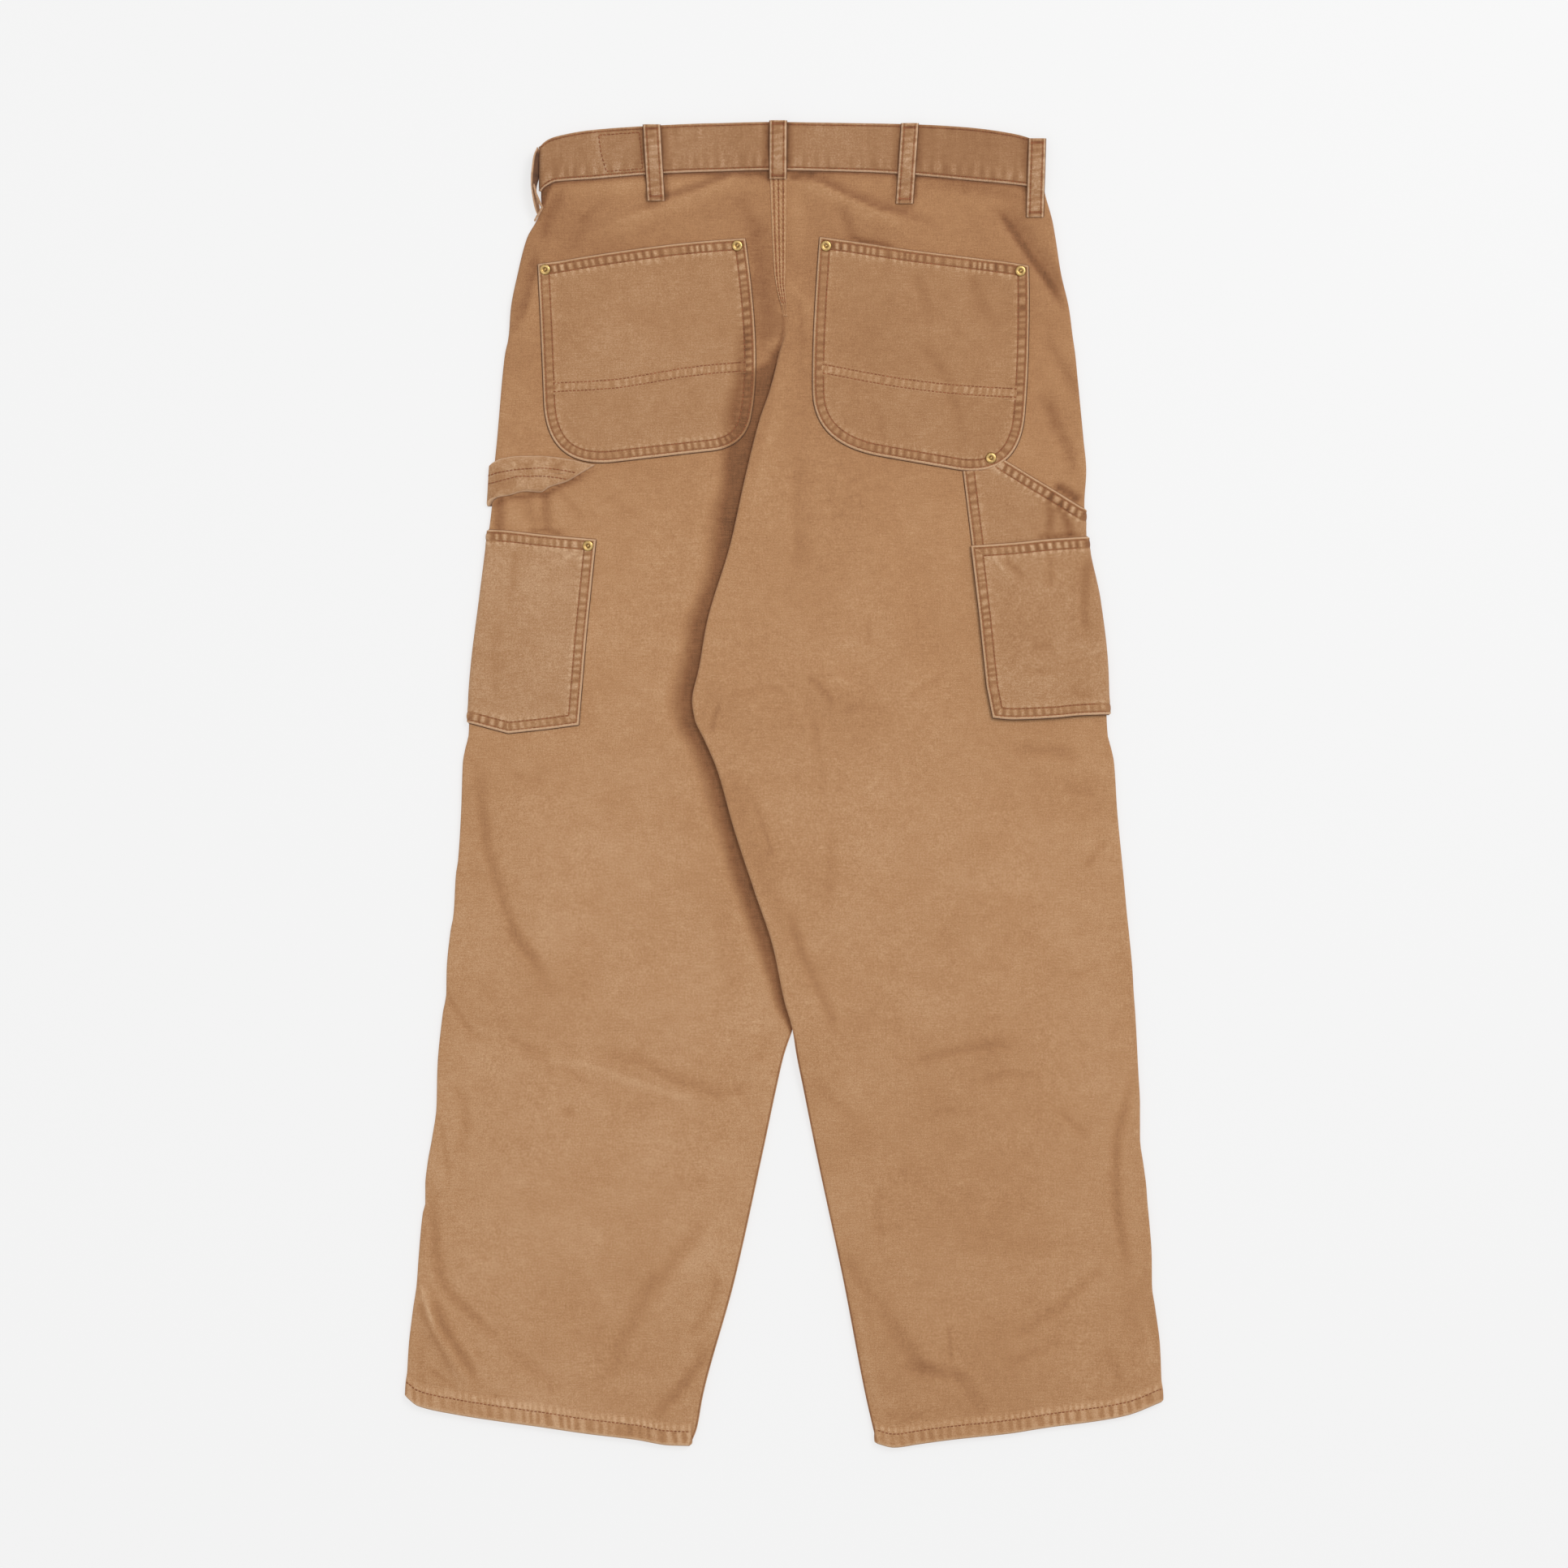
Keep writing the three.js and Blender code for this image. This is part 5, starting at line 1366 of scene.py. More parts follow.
def make_hammer_loop():
    """The strap from the back pocket's corner to the side seam, with its two stitch rows: rings from its
    underside over its edge to its middle line, bulged up along its length."""
    side = "left"
    edge = seam_line(side, 255, 222.5)
    lower = smooth_line([edge[-1], (-230, 229), (-219.6, 231.3), (-207, 234.3), (-195, 233.6),
                         (-188, 237.6), (-174, 242.2), (-163, 248.6), (-151.2, 255.6)], 70)
    upper = smooth_line([(-151.2, 255.6), (-160, 257.2), (-170, 259.8), (-182, 261.6), (-196, 262.8),
                         (-211, 262.7), (-226, 260.6), edge[0]], 70)
    sides = [edge, lower, upper]
    rings, wear_and_shade_values = [], []
    lift = HAMMER["lift"]

    def bulge(ring):
        """How far the strap stands up off the leg between its ends."""
        return HAMMER["bulge"] * ease(0, 30, ring[:, 0] + 236) * ease(-160, -190, ring[:, 0])

    def out_of_seam(points):
        """Points of the strap, moved out beyond the side seam towards its end there."""
        push = HAMMER["off_seam"] * ease(-222, -234, points[:, 0])
        return points - np.stack([push, 0 * push, 0 * push], axis=-1)

    first, _ = inset(sides, 0)
    last, _ = inset(sides, HAMMER_DEPTHS[-1])
    middle = np.stack([last[:, 0] * 0.5 - 98, np.full(len(last), 248.0)], axis=-1)
    fill = [mix(last, middle, share) for share in HAMMER_FILL]
    for ring in [*fill[::-1], last, first]:
        rings.append(skin(side, *ring.T, lift))
        wear_and_shade_values.append(np.zeros(len(ring)))
    for depth in HAMMER_DEPTHS:
        ring, places = inset(sides, depth)
        height = lift + HAMMER_PROFILE(depth) + bulge(ring) * ease(0, 2.6, depth)
        rings.append(out_of_seam(skin(side, *ring.T, height)))
        wear_and_shade_values.append(0.75 * ease(1.3, 0.3, depth) + 0.15 + 0.2 * noise(places, 3, 4, 61))
    for ring in fill:
        # The lumps are painted paler where they rise: painted light
        lumps = noise(ring[:, 0], ring[:, 1] * 0.3, 3.6, 62)
        height = lift + HAMMER["thick"] + bulge(ring) + 0.12 * lumps
        rings.append(out_of_seam(skin(side, *ring.T, height)))
        wear_and_shade_values.append(0.15 + 0.35 * lumps)
    strap = disc_mesh("hammer_strap", np.stack(rings), np.stack(wear_and_shade_values), PATCH_DUCK)
    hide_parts("hammer_loop")
    rows = []
    for line in ([(-233, 246.6), (-226.6, 249.6), (-210, 252), (-193.4, 252.8), (-176.8, 251), (-167, 249)],
                 [(-233, 240.2), (-222.4, 244), (-210, 246.3), (-193.4, 246.3), (-181, 245),
                  (-174, 243.8)]):
        path = smooth_line(line)
        height = lift + HAMMER["rows_at"] + bulge(path)
        rows.append(stitch_row(out_of_seam(skin(side, *path.T, height))))
    sew("stitches_hammer_strap", rows)
    return strap


# Seat seam and hems

def strip_mesh(name, surface, along, across, heights, wear_and_shade_values, low, material):
    """A sewn strip: surface(along, across, lift) gives its points, heights and fades its profile."""
    outer = surface(along[:, None], across[None, :], heights)
    inner = surface(along[:, None], across[None, :], np.full(heights.shape, low))
    return wall_mesh(name, outer, inner, wear_and_shade_values, material)


SEAT_SEAM = table("y left right", [
    (491, -11.3, 2.2), (483, -11.1, 2), (413, -8, 1.2), (400, -6.4, 0.7), (392, -4.8, 1.4),
    (379, -1.2, 2.2), (368, 0.4, 3.2),
])


# Stitch rows in shares of the seam's width
SEAT_ROWS = (0.2, 0.5, 0.8)
# The seam sinks under the lap between these heights
SEAT_END = {"from": 384, "to": 373, "sinks": 1.1}


def make_seat_seam():
    """The felled seat seam, which narrows where it turns under the lap, with three stitch rows. Its
    profile has a groove at each row. Its braid of painted light and shade for its puckers is a sine wave
    along y that lags by the distance from the seam's middle, and its lumps are painted paler where they
    rise."""
    left = curve(SEAT_SEAM["y"], SEAT_SEAM["left"])
    right = curve(SEAT_SEAM["y"], SEAT_SEAM["right"])
    y = np.linspace(490.5, 374, 110)
    share = np.array([0, 0.03, 0.07, 0.12, 0.17, 0.2, 0.23, 0.32, 0.42, 0.47, 0.5, 0.53, 0.58, 0.68, 0.77,
                      0.8, 0.83, 0.88, 0.93, 0.97, 1])
    profile = curve([0, 0.03, 0.07, 0.2, 0.32, 0.5, 0.68, 0.8, 0.93, 1],
                    [0.5, 0.95, 1.05, 0.8, 1.0, 0.78, 1.0, 0.8, 0.95, 0.35])

    def surface(along, across, lift):
        """A point of the seam: along it, and across in shares of its width."""
        return skin("right", mix(left(along), right(along), across), along, lift)

    lumps = noise(y[:, None], 5 * share[None, :], 3.4, 71)
    sewn = ease(0, 0.15, share) * ease(1, 0.85, share)
    heights = profile(share)[None, :] + 0.12 * lumps * sewn
    heights = heights - SEAT_END["sinks"] * ease(SEAT_END["from"], SEAT_END["to"], y)[:, None]
    needle = sum(ease(0.07, 0.02, np.abs(share - row)) for row in SEAT_ROWS)
    turn = y[:, None] / 4.4 + 5 * np.abs(share - 0.5)[None, :]
    braid = np.sin(2 * np.pi * turn) * sewn * (1 - needle)
    wear_and_shade_values = 0.36 * ease(0.09, 0.03, share)[None, :] - (0.05 * sewn + 0.85 * needle)[None, :]
    wear_and_shade_values = wear_and_shade_values + 0.25 * lumps * sewn + 0.4 * braid + 0.1
    wear_and_shade_values = wear_and_shade_values + 0.3 * ease(0.93, 0.98, share)[None, :]
    strip_mesh("seat_seam", surface, y, share, heights, wear_and_shade_values, 0.02, LEG_DUCK)
    rows = []
    line_y = np.linspace(488, SEAT_END["from"], 124)
    for part in SEAT_ROWS:
        x = mix(left(line_y), right(line_y), part)
        rows.append(stitch_row(skin("right", x, line_y, 0.86)))
    sew("stitches_seat_seam", rows)


# The cloth that bridges from the left leg to the fold's start: its ends, its reach to either side of the
# joint, and where and how deep it sinks between the legs
BRIDGE = {"top": 404, "foot": 338, "left": 8, "right": 3, "sinks_from": 368, "sunk": 342, "depth": 3.6}


def make_seat_bridge():
    """The gusset of cloth at the crotch, where the fold of the right leg starts out of the left leg."""
    y = np.linspace(BRIDGE["top"], BRIDGE["foot"], 60)[:, None]
    share = np.linspace(0, 1, 12)[None, :]
    x = mix(right_inner(y) - BRIDGE["left"], right_inner(y) + BRIDGE["right"], share)
    left = leg_top("left", x[:, :1], y)
    right = leg_top("right", x[:, -1:], y)
    sink = BRIDGE["depth"] * ease(BRIDGE["sinks_from"], BRIDGE["sunk"], y) * ease(0, 0.6, share)
    z = mix(left, right, ease(0, 0.85, share)) - sink - 0.12
    outer = np.stack([x, np.broadcast_to(y, x.shape), z], axis=-1)
    inner = outer - (0, 0, 0.8)
    wear_and_shade_values = mix(leg_wear_and_shade("left", x, y), leg_wear_and_shade("right", x, y), ease(0.4, 0.9, share))
    wall_mesh("seat_bridge", outer, inner, wear_and_shade_values, LEG_DUCK)


# Width of each hem at its side seam and at its inner edge
HEM_WIDTH = {"left": (14.5, 13.4), "right": (12.5, 12.7)}
# How far the hem starts above the leg's end, its usual width, its stitch row and the length of a stitch
HEM = {"turn": 0.4, "wide": 12, "row_at": 0.84, "row_lift": 0.98, "stitch": 2.1}
HEM_PUCKER_SEED = {"left": 81, "right": 84}
HEM_STAIN = {"side": "left", "x": -118, "core": 6, "reach": 26, "dark": 0.35}


def make_hem(side):
    """The turned-up hem as a thicker band round the foot of the leg, with one stitch row near its top. Its
    profile across is a curve, and its height and its painted light and shade follow the puckers below and
    above the row."""
    sign = SIGN[side]
    outer_x, inner_x = float(SIDE_SEAMS[side][-1]), float(inner_edge[side](HEM_ROW))
    reach = rim_length(2.2) - SIDE_ROUND
    x = np.linspace(outer_x + sign * reach, inner_x - sign * reach, 260)
    share = np.array([0, 0.03, 0.08, 0.15, 0.27, 0.4, 0.52, 0.64, 0.74, 0.79, 0.84, 0.89, 0.95, 1.02, 1.1,
                      1.2, 1.3, 1.42])
    profile = curve([0, 0.03, 0.08, 0.2, 0.5, 0.75, 0.84, 0.93, 1.1, 1.3, 1.42],
                    [0.2, 0.8, 1.15, 1.2, 1.15, 1.0, 0.8, 0.72, 0.35, 0.08, -0.15])

    def surface(along, across, lift):
        """A point of the hem: x along the foot, and across in shares of the hem's width."""
        flat_x = np.clip(along, min(outer_x, inner_x), max(outer_x, inner_x))
        edge = hem_edge[side](flat_x)
        wide = mix(*HEM_WIDTH[side], np.clip((along - outer_x) / (inner_x - outer_x), 0, 1))
        return skin(side, along, edge + HEM["turn"] + across * wide, lift)

    wave = bars(x[:, None], share[None, :] * HEM["wide"], HEM_PUCKER_SEED[side], 8.0)
    other = bars(x[:, None] + 31, share[None, :] * 6, 83, 5.2)
    row_at = HEM["row_at"]
    below = (ease(0.02, 0.2, share) * ease(row_at, 0.76, share))[None, :]
    above = (ease(row_at, 0.93, share) * ease(1.42, 1.02, share))[None, :]
    heights = profile(share)[None, :] + 0.14 * wave * below + 0.12 * other * above
    foot_y = hem_edge[side](np.clip(x, *sorted((outer_x, inner_x))))
    y_at = foot_y[:, None] + HEM["turn"] + share[None, :] * HEM["wide"]
    wear_and_shade_values = leg_wear_and_shade(side, np.broadcast_to(x[:, None], y_at.shape), y_at)
    # Painted light and shade of the puckers below and above the row
    wear_and_shade_values = wear_and_shade_values + (0.5 * wave + 0.05) * below + above * (0.28 + 0.5 * np.maximum(other, -0.4))
    wear_and_shade_values = wear_and_shade_values + 0.8 * ease(0.2, 0.04, share)[None, :]
    if side == HEM_STAIN["side"]:
        stain = ease(HEM_STAIN["reach"], HEM_STAIN["core"], np.abs(x - HEM_STAIN["x"]))[:, None] * below
        wear_and_shade_values = wear_and_shade_values - HEM_STAIN["dark"] * stain
    strip_mesh(f"hem_{side}", surface, x, share, heights, wear_and_shade_values, 0.05, LEG_DUCK)
    row = surface(np.linspace(x[2], x[-3], 240), row_at, HEM["row_lift"])
    sew(f"stitches_hem_{side}", [stitch_row(row, length=HEM["stitch"])])


# Waistband

LOOP = {"wide": 13.0, "wall": 1.5, "slack": 1.2, "slack_end": 0.7, "reach": 3.2}
BELT_LOOPS = {
    "belt_loop_back_left": [(-106, 528), (-102.4, 466.7)],
    "belt_loop_centre": [(-4.6, 530.9), (-4.9, 484.3)],
    "belt_loop_back_right": [(100.8, 529), (96.5, 464.8)],
    "belt_loop_side_right": [(202.8, 516.8), (200.9, 453.7)],
}
BAND_TOP = 2 * BAND_WALL + LEG_SLACK
BAND_WIDTH = 38
BAND_COLUMNS = {"front": 40, "back": 300}
# Distance of the band's stitch rows from its edges
BAND_ROW = 2.1
# Shade beside the belt loops: how dark, how much darker beside the centre loop, how far it reaches, and
# the heights between which it grows to full
LOOP_SHADE = {"dark": 0.75, "centre": 1.5, "reach": 8, "foot": 484, "top": 500}
# The bare sewn rectangle on the band, and the lift of its rows
BAND_RECTANGLE = [(-148.5, 519.5), (-146.5, 505), (-142.4, 490.5), (-113.2, 492.5), (-115.7, 521.8),
                  (-148.5, 519.5)]
RECTANGLE_LIFT = 0.16


def band_point(x, up, y, lift):
    """A point on the band's outside: up is 1 on the back, -1 on the front and between them at its ends."""
    base, top = button_lift(x, y), button_lift(x, y) + BAND_TOP
    return (base + top) / 2 + (BAND_TOP / 2 + lift) * up


def make_waistband():
    """One strip round the waist, from the centre front round the back to the centre front again. At
    either end it turns on half an ellipse, BAND_ROUND deep, and across it the profile dips at each
    stitch row."""
    low_x, high_x = BAND_OUTLINE["x"][0] - 1, BAND_OUTLINE["x"][-1]
    front_count, back_count = BAND_COLUMNS["front"], BAND_COLUMNS["back"]
    turn = np.radians(np.linspace(-78, 78, 9))
    flat_back = np.linspace(high_x - BAND_ROUND, low_x + BAND_ROUND, back_count)
    front_right = np.linspace(BAND_FRONT_GAP / 2, high_x - BAND_ROUND, front_count)
    front_left = np.linspace(low_x + BAND_ROUND, -BAND_FRONT_GAP / 2, front_count)
    x = np.concatenate([front_right, high_x - BAND_ROUND * (1 - np.cos(turn)), flat_back,
                        low_x + BAND_ROUND * (1 - np.cos(turn[::-1])), front_left])
    inside = BAND_ROUND - BAND_WALL
    wall_x = np.concatenate([front_right, high_x - BAND_WALL - inside * (1 - np.cos(turn)), flat_back,
                             low_x + BAND_WALL + inside * (1 - np.cos(turn[::-1])), front_left])
    front, back = np.ones(front_count), np.ones(back_count)
    up = np.concatenate([-front, np.sin(turn), back, np.sin(turn[::-1]), -front])
    side = np.concatenate([0 * front, np.cos(turn), 0 * back, -np.cos(turn[::-1]), 0 * front])
    place_along = np.concatenate([[0], np.cumsum(np.hypot(np.diff(x), np.diff(up) * 3))])
    share = np.array([-0.017, -0.012, 0, 0.008, 0.02, 0.035, 0.046, 0.055, 0.066, 0.085, 0.12, 0.17, 0.24,
                      0.32, 0.42, 0.52, 0.62, 0.72, 0.82, 0.89, 0.93, 0.945, 0.96, 0.98, 0.992, 1])
    depth = np.minimum(share, 1 - share) * BAND_WIDTH
    profile = curve([-0.7, -0.4, 0, 0.3, 0.8, 1.4, 2.1, 3, 5, 10, 19],
                    [-2.2, -2.0, -0.8, -0.1, 0.1, 0.05, -0.2, 0.05, 0.05, 0, 0])
    lumps = 0.7 * noise(place_along[:, None], 3 + 8 * share[None, :], 4.0, 91)
    lumps = lumps + 0.4 * noise(place_along[:, None], 6 * share[None, :], 2.0, 92)
    sewn = ease(0.6, 2.2, depth) * mix(0.25, 1, ease(12, 4, depth))
    lift = profile(depth)[None, :] + 0.12 * lumps * sewn
    y = mix(band_lower(x)[:, None], band_upper(x)[:, None], share)
    outer_z = band_point(x[:, None], up[:, None], y, lift)
    outer = np.stack([x[:, None] + side[:, None] * lift, y, outer_z], axis=-1)
    inner_z = band_point(x[:, None], up[:, None], y, np.full(lift.shape, -BAND_WALL))
    inner = np.stack([np.broadcast_to(wall_x[:, None], y.shape), y, inner_z], axis=-1)
    # Worn colour and painted light and shade: a pale lower edge, dark needle rows, a painted shadow line
    # below its foot, lumps painted paler where they rise, and puckers over the lower row in painted light
    # and shade
    lower_edge = 0.9 * ease(1.35, 0.8, depth) * np.where(share < 0.5, 1, 0.25)
    needle = ease(0.8, 0.1, np.abs(depth - BAND_ROW))
    wear_and_shade_values = lower_edge[None, :] - 0.08 + 0.2 * lumps * sewn - 0.6 * needle[None, :]
    wear_and_shade_values = np.where(share[None, :] < 0, FOOT["dark"], wear_and_shade_values)
    low = share * BAND_WIDTH
    rise = ease(2, 4, low) * ease(15, 6, low)
    wear_and_shade_values = wear_and_shade_values + 0.34 * bars(place_along[:, None], low[None, :] * 0.4, 17, 9.5) * rise[None, :]
    wear_and_shade_values = wear_and_shade_values + 0.1 * noise(x[:, None], y * 0.8, 26, 93) + 0.1 * noise(x[:, None], y * 0.08, 1.8, 94)
    # Shade on the back: the right end, beside the belt loops, and a pale crease on the left
    on_back = up[:, None] > 0.9
    wear_and_shade_values = wear_and_shade_values - 0.22 * on_back * ease(96, 124, x)[:, None]
    for name, ((top_x, top_y), (foot_x, foot_y)) in BELT_LOOPS.items():
        beside = np.abs(x[:, None] - mix(foot_x, top_x, (y - foot_y) / (top_y - foot_y))) - LOOP["wide"] / 2
        dark = LOOP_SHADE["dark"] * (LOOP_SHADE["centre"] if name == "belt_loop_centre" else 1)
        near = ease(LOOP_SHADE["reach"], 0, beside) * ease(LOOP_SHADE["foot"], LOOP_SHADE["top"], y)
        wear_and_shade_values = wear_and_shade_values - dark * on_back * near
    wear_and_shade_values = wear_and_shade_values + 0.35 * on_back * ease(3.4, 0.5, np.abs(x[:, None] + 151 + (519 - y) * -0.2))
    band = wall_mesh("waist_strip", outer, inner, wear_and_shade_values, BAND_DUCK)
    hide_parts("waistband")

    def on_band(px, py, lift=0.02):
        """Points on the back of the band."""
        return np.stack([px, py, band_point(px, 1.0, py, lift)], axis=-1)

    rows = []
    along = np.linspace(high_x - 2.2, low_x + 2.2, 400)
    rows.append(stitch_row(on_band(along, band_lower(along) + BAND_ROW)))
    rows.append(stitch_row(on_band(along, band_upper(along) - BAND_ROW)))
    corners = np.array(BAND_RECTANGLE)
    for a, b in zip(corners[:-1], corners[1:]):
        line = spaced([a, b], 30)
        rows.append(stitch_row(on_band(line[:, 0], line[:, 1], RECTANGLE_LIFT)))
    sew("stitches_waist_strip", rows)
    return band


# Belt loops

# Stitch rows of a belt loop, from its middle line
LOOP_ROWS = (-4.3, 4.3)
# The loop's half width in steps, past its edge by the dark line of painted shadow round its foot
LOOP_HALF = [0, 1.2, 2.4, 3.3, 3.9, 4.3, 4.7, 5.3, 5.7, 6.1, 6.4, 6.5, 6.9, 7.2]
LOOP_PROFILE = curve([-0.7, -0.4, 0, 0.3, 0.8, 1.5, 2.2, 3.2, 6.5],
                     [0.1, 0.3, 0.6, 1.15, 1.5, 1.45, 1.2, 1.5, 1.55])
# The tack at either end of a loop: the index of its row, half its length, its lift and its stitches
TACK = {"rows": (4, -5), "half": 5.2, "lift": 1.25, "pitch": 0.95, "length": 2.6, "wide": 0.36}


def under_loop(x, y):
    """Height of the cloth under a belt loop, as the highest within a few millimetres."""
    highest = np.zeros(np.shape(x))
    for across in (-0.5, 0, 0.5):
        for along in (-LOOP["reach"], 0, LOOP["reach"]):
            px, py = x + across * LOOP["wide"], y + along
            side = "left" if np.mean(x) < -12 else "right"
            seam = 1.0 * ease(-11, -9, px) * ease(3.5, 2, px) if side == "right" else 0
            on_leg = leg_top(side, px, py) + seam
            on_band = button_lift(px, py) + BAND_TOP + 0.15
            highest = np.maximum(highest, np.where(py > band_lower(px) - 1.2, on_band, on_leg))
    return highest


def loop_profile(across):
    """Height across a belt loop from edge to edge, and its worn colour and painted shade: rolled pale
    edges, a sewn groove in each half drawn darker, and painted shadow just beyond its edges."""
    depth = LOOP["wide"] / 2 - np.abs(across)
    wear_and_shade = 0.8 * ease(1.2, 0.7, depth) - 0.75 * ease(0.9, 0.1, np.abs(depth - 2.2)) + 0.05
    return LOOP_PROFILE(depth), np.where(depth < -0.05, FOOT["dark"], wear_and_shade)


def make_belt_loop(name, ends):
    """A belt loop with its stitches: a strap over the highest cloth under it, bowed up by half a sine
    wave over its upper part and pressed down by a tack at either end."""
    top, foot = (np.array(end) for end in ends)
    share = np.linspace(0, 1, 70)
    centre = mix(top, foot, share[:, None])
    bow = LOOP["slack"] * np.sin(np.pi * np.minimum(share / LOOP["slack_end"], 1))
    low = under_loop(centre[:, 0], centre[:, 1]) + SEAM_GAP + bow
    smooth = np.convolve(np.pad(low, 4, mode="edge"), np.ones(9) / 9, mode="valid")
    low = np.maximum(smooth, low - 0.1)
    half = np.array(LOOP_HALF)
    across = np.concatenate([-half[:0:-1], half])
    height, wear_and_shade = loop_profile(across)
    length = np.hypot(*(foot - top))
    end_depth = np.minimum(share, 1 - share) * length
    lumps = noise(share[:, None] * length, across[None, :] * 0.5, 2.6, 101)
    tack = ease(5.2, 3.4, end_depth)[:, None]
    z = low[:, None] + height[None, :] - 0.35 * tack + 0.1 * lumps
    x = centre[:, :1] + across[None, :]
    y = np.broadcast_to(centre[:, 1:], x.shape)
    outer = np.stack([x, y, z], axis=-1)
    inner = np.stack([x, y, np.broadcast_to(low[:, None], x.shape)], axis=-1)
    inside = np.abs(across) <= LOOP["wide"] / 2
    # Painted light and shade: lumps paler where they rise, puckers along it, and shade where the tacks
    # press it down
    along_seam = bars(share[:, None] * length, across[None, :], np.abs(foot[0]) % 7 + 30, 5.6)
    wear_and_shade_values = 0.35 * lumps + 0.25 * along_seam + 0.6 * ease(1.4, 0.4, end_depth)[:, None] - 0.3 * tack
    wear_and_shade_values = wear_and_shade[None, :] + wear_and_shade_values * inside
    strap = wall_mesh(f"{name}_strap", outer, inner, wear_and_shade_values, BAND_DUCK)
    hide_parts(name)
    rows = []
    for offset in LOOP_ROWS:
        row_z = low + LOOP_PROFILE(LOOP["wide"] / 2 - abs(offset))
        path = np.stack([centre[:, 0] + offset, centre[:, 1], row_z], axis=-1)[3:-3]
        rows.append(stitch_row(path))
    steps = np.linspace(-TACK["half"], TACK["half"], 12)
    for index in TACK["rows"]:
        tack_line = np.stack([centre[index, 0] + steps, centre[index, 1] + 0 * steps,
                              low[index] + TACK["lift"] + 0 * steps], axis=-1)
        rows.append(stitch_row(tack_line, TACK["pitch"], TACK["length"], turned=True, wide=TACK["wide"]))
    sew(f"stitches_{name}", rows)


# The left side loop's two edges from its top to its foot: x, y and height of the low and of the high one
SIDE_LOOP_LOW = [(-195.8, 508.5, 1.5), (-195.4, 500, 0.5), (-195.4, 491, 0.4), (-196.2, 485, 0.4),
                 (-198.2, 479.5, 0.4), (-198.4, 475, 0.4), (-197.4, 469, 0.6), (-195.4, 463.5, 1.0),
                 (-195.6, 457, 2.0)]
SIDE_LOOP_HIGH = [(-196.2, 510, 9.5), (-199.6, 503, 11.2), (-200.8, 494, 11.6), (-201.8, 485, 11.6),
                  (-201.4, 477, 11.2), (-200.4, 469, 10.4), (-199, 461, 9), (-196.6, 455.5, 7.6)]
# The strand that turns in from the loop to its tack, and the tack bar itself, each with its width
SIDE_LOOP_STRAND = {
    "line": [(-200.2, 480, 9.5), (-198.6, 472.5, 9), (-196, 466.5, 8.4), (-193.6, 461.5, 7.6)], "wide": 1.9,
}
SIDE_LOOP_TACK = {"line": [(-199.8, 450.6, 5.6), (-196.4, 456.2, 7.4), (-193, 462, 8)], "wide": 1.9}
SIDE_LOOP_WALL = 1.1


def edge_face(low, high, steps):
    """The face between two lines in space, as a grid from the one to the other."""

    def soft(line):
        """The line smoothed by a running mean of eleven places."""
        padded = [np.pad(line[:, k], 5, mode="edge") for k in range(3)]
        mean = np.ones(11) / 11
        return np.stack([np.convolve(column, mean, mode="valid") for column in padded], axis=-1)

    low, high = soft(spaced(low, steps)), soft(spaced(high, steps))
    share = np.array([0, 0.03, 0.08, 0.14, 0.2, 0.35, 0.5, 0.65, 0.8, 0.86, 0.92, 0.97, 1])
    face = mix(low[:, None], high[:, None], share[None, :, None])
    normal = np.cross(np.gradient(face, axis=0), np.broadcast_to((high - low)[:, None], face.shape))
    return share, face, unit(normal)


def round_strand(name, line, wide, wear_and_shade):
    """A thin rounded strand of folded cloth: a circle carried along a line."""
    line = spaced(line, 30)
    ahead = unit(np.gradient(line, axis=0))
    across = unit(np.cross(ahead, (0, 0, 1.0)))
    up = np.cross(across, ahead)
    angles = np.linspace(0, 2 * np.pi, 14, endpoint=False)
    taper = np.sqrt(np.clip(1 - np.linspace(-0.98, 0.98, 30) ** 8, 0, 1))
    ring = across[:, None] * np.cos(angles)[None, :, None] + up[:, None] * np.sin(angles)[None, :, None]
    rings = line[:, None] + ring * (wide / 2 * taper)[:, None, None]
    lumps = noise(np.linspace(0, 12, 30)[:, None], np.cos(angles)[None, :] * 2, 2, 112)
    return disc_mesh(name, rings, wear_and_shade + 0.25 * lumps, BAND_DUCK)


def make_side_loop():
    """The left side loop stands on its edge beside the band and ends in a slanted tack."""
    steps = 70
    share, face, normal = edge_face(SIDE_LOOP_LOW, SIDE_LOOP_HIGH, steps)
    edge = (0.3 * ease(0.07, 0, np.minimum(share, 1 - share)))[None, :, None]
    outer, inner = face + normal * edge, face + normal * (SIDE_LOOP_WALL - edge)
    rim = ease(0.84, 0.93, share)[None, :]
    run = np.linspace(0, 58, steps)[:, None]
    recess = ease(1, 6, run) * ease(40, 32, run)
    # Painted shade on the loop's inner face along its recess, below a pale rim at its top edge
    wear_and_shade_values = 0.75 * rim - 1.45 * recess * (1 - rim) + 0.2 * noise(run, share * 4, 3, 111)
    loop = wall_mesh("belt_loop_side_left_strap", outer, inner, wear_and_shade_values, BAND_DUCK)
    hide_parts("belt_loop_side_left")
    round_strand("side_loop_strand", wear_and_shade=0.5, **SIDE_LOOP_STRAND)
    round_strand("side_loop_tack", wear_and_shade=0.55, **SIDE_LOOP_TACK)


# Rivets

RIVETS = {
    "rivet_pocket_left_outer": (-191.2, 411.6, "left"),
    "rivet_pocket_left_inner": (-37.4, 431, "left"),
    "rivet_pocket_right_inner": (33.7, 430.8, "right"),
    "rivet_pocket_right_outer": (189.4, 410.6, "right"),
    "rivet_pocket_right_corner": (165.8, 261, "right"),
    "rivet_utility_left": (-156.9, 190.6, "left"),
}
# Height of a rivet's foot over the leg, beside its patch's lift
RIVET_SEAT = 1.75
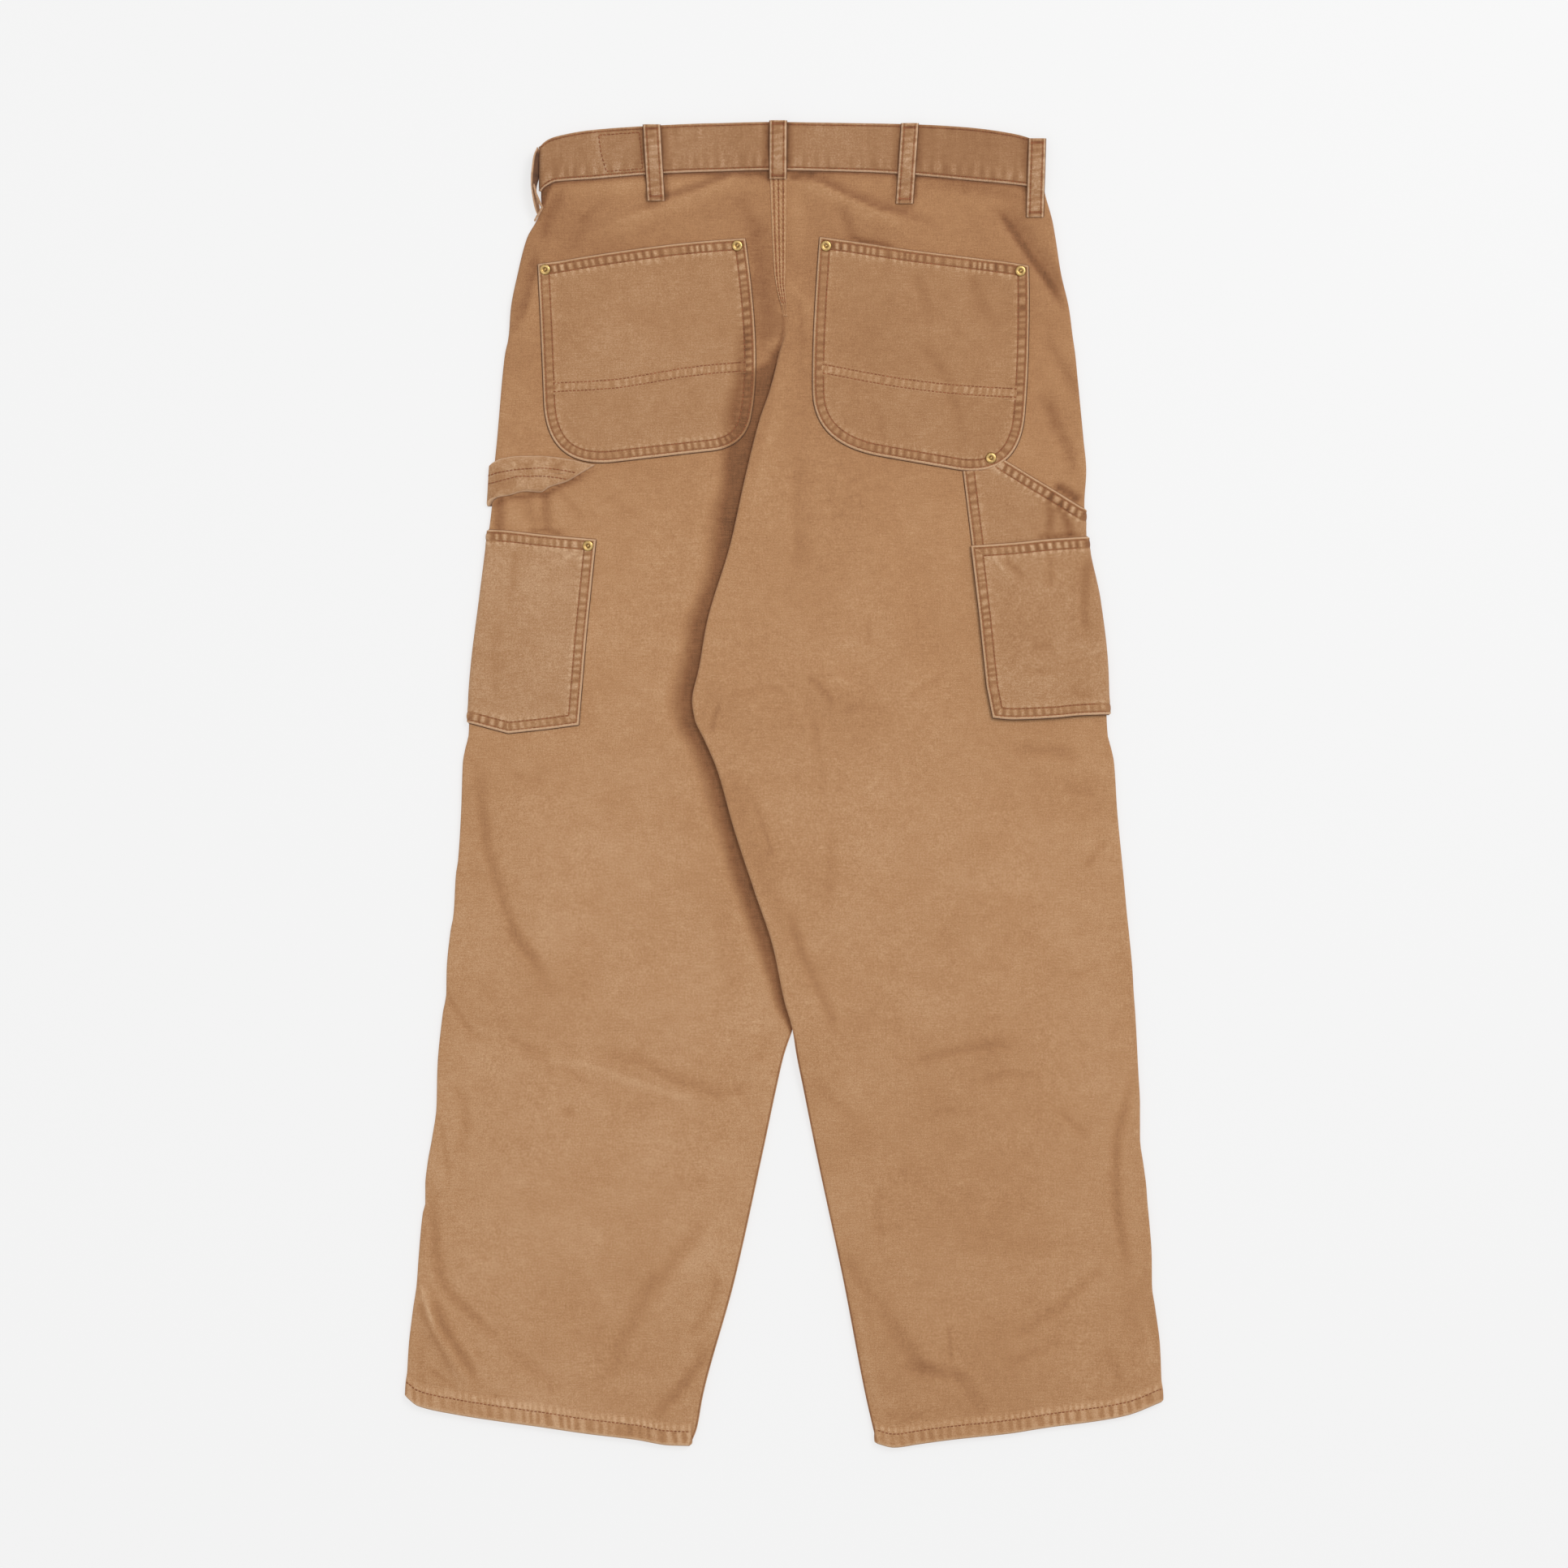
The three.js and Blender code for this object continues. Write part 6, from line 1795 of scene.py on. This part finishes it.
# Painted shade on the brass by distance from the rivet's middle: in the dimple's ring and round the rim
RIVET_PAINTED_SHADE = {
    "radius": [0, 0.6, 1.0, 1.5, 1.9, 2.4, 3.8, 4.3, 5], "painted_shade": [0.1, 0.3, 0.9, 0.9, 0.2, 0, 0, 0.8, 1],
}
RIVET_PROFILE = table("radius height", [
    (0.02, 0.95), (0.35, 0.93), (0.62, 0.72), (0.9, 0.5), (1.35, 0.46), (1.62, 0.62), (1.9, 0.98),
    (2.3, 1.22),
    (2.9, 1.28), (3.5, 1.14), (4.0, 0.84), (4.35, 0.46), (4.5, 0.16), (4.5, -0.3), (4.2, -0.5),
    (0.02, -0.5),
])


def make_rivet(name, x, y, side):
    """A domed brass cap with a ring and a dimple with a small burr: its profile turned about its own
    axis."""
    angles = np.linspace(0, 2 * np.pi, 40, endpoint=False)
    seat = skin(side, x, y, PATCH_LIFT + RIVET_SEAT)[2]
    radius, height = RIVET_PROFILE["radius"][:, None], RIVET_PROFILE["height"][:, None]
    z = seat + height + 0 * angles
    rings = np.stack([x + radius * np.cos(angles), y + radius * np.sin(angles), z], axis=-1)
    painted_shade = np.interp(RIVET_PROFILE["radius"], RIVET_PAINTED_SHADE["radius"], RIVET_PAINTED_SHADE["painted_shade"])
    wear_and_shade_values = -np.repeat(painted_shade[:, None], len(angles), axis=1)
    cap = disc_mesh(f"{name}_cap", rings, wear_and_shade_values, BRASS)
    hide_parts(name)


# Studio

# The floor gives part of its light itself, so that shadows on it stay faint
FLOOR = {"base": linear(140, 140, 140), "glow": 0.672, "half": 30.0, "z": -0.0004}
ROOM_LIGHT = 0.58
# Lamps that look at the middle of the garment: place in metres, size and power
LAMPS = {"key": ((1.5, 1.7, 2.6), 1.4, 40), "fill": ((-1.6, -0.6, 2.8), 2.4, 13)}
WHITE = (1, 1, 1, 1)


def make_studio():
    """An even white room, a pale floor and two soft lamps."""
    scene = bpy.context.scene
    scene.view_settings.view_transform = "Standard"
    world = bpy.data.worlds.new("soft room")
    world.use_nodes = True
    background = world.node_tree.nodes["Background"].inputs
    background["Color"].default_value = WHITE
    background["Strength"].default_value = ROOM_LIGHT
    scene.world = world
    floor_mesh = bpy.data.meshes.new("floor")
    half, z = FLOOR["half"], FLOOR["z"]
    corners = [(-half, -half, z), (half, -half, z), (half, half, z), (-half, half, z)]
    floor_mesh.from_pydata(corners, [], [(0, 1, 2, 3)])
    material, _, _, shader = shader_material("pale floor")
    shader.inputs["Base Color"].default_value = FLOOR["base"]
    shader.inputs["Emission Color"].default_value = WHITE
    shader.inputs["Emission Strength"].default_value = FLOOR["glow"]
    shader.inputs["Roughness"].default_value = 0.9
    shader.inputs["Specular IOR Level"].default_value = 0.1
    floor_mesh.materials.append(material)
    floor = bpy.data.objects.new("floor", floor_mesh)
    scene.collection.objects.link(floor)
    for name, (place_at, size, power) in LAMPS.items():
        light = bpy.data.lights.new(name, "AREA")
        light.size = size
        light.energy = power
        lamp = bpy.data.objects.new(name, light)
        lamp.location = place_at
        east, north, up = -np.array(place_at)
        lamp.rotation_euler = (np.arctan2(np.hypot(east, north), -up), 0, np.arctan2(-east, north))
        scene.collection.objects.link(lamp)


# The height of the camera, the height of the cloth that the picture's scale holds for and the far limit
# are in metres, the sensor in millimetres
CAMERA = {
    "height": 3.0, "cloth": 0.005, "far": 50, "sensor": 36.0, "picture_pixels": 1932, "mm_per_pixel": 0.65,
}


def make_camera():
    """Straight above the middle of the picture, with a lens that takes in its whole width."""
    camera = bpy.data.cameras.new("camera")
    camera.sensor_width = CAMERA["sensor"]
    width = CAMERA["picture_pixels"] * CAMERA["mm_per_pixel"] * MM
    camera.lens = CAMERA["sensor"] * (CAMERA["height"] - CAMERA["cloth"]) / width
    camera.clip_end = CAMERA["far"]
    thing = bpy.data.objects.new("camera", camera)
    thing.location = (0, PICTURE_TO_ORIGIN_Y * MM, CAMERA["height"])
    bpy.context.scene.collection.objects.link(thing)
    bpy.context.scene.camera = thing


make_camera()
make_studio()
legs = {side: make_leg(side) for side in ("left", "right")}
for side in ("left", "right"):
    make_hem(side)
make_seat_seam()
make_seat_bridge()
band = make_waistband()
pockets = {side: make_back_pocket(side) for side in ("left", "right")}
utility = {"left": make_utility_left(), "right": make_utility_right()}
ruler = make_ruler_pocket()
hammer = make_hammer_loop()
for loop_name, loop_ends in BELT_LOOPS.items():
    make_belt_loop(loop_name, loop_ends)
make_side_loop()
for rivet_name, (rivet_x, rivet_y, rivet_side) in RIVETS.items():
    make_rivet(rivet_name, rivet_x, rivet_y, rivet_side)
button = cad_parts["waist_button"]
button.data.materials.clear()
button.data.materials.append(BRASS)
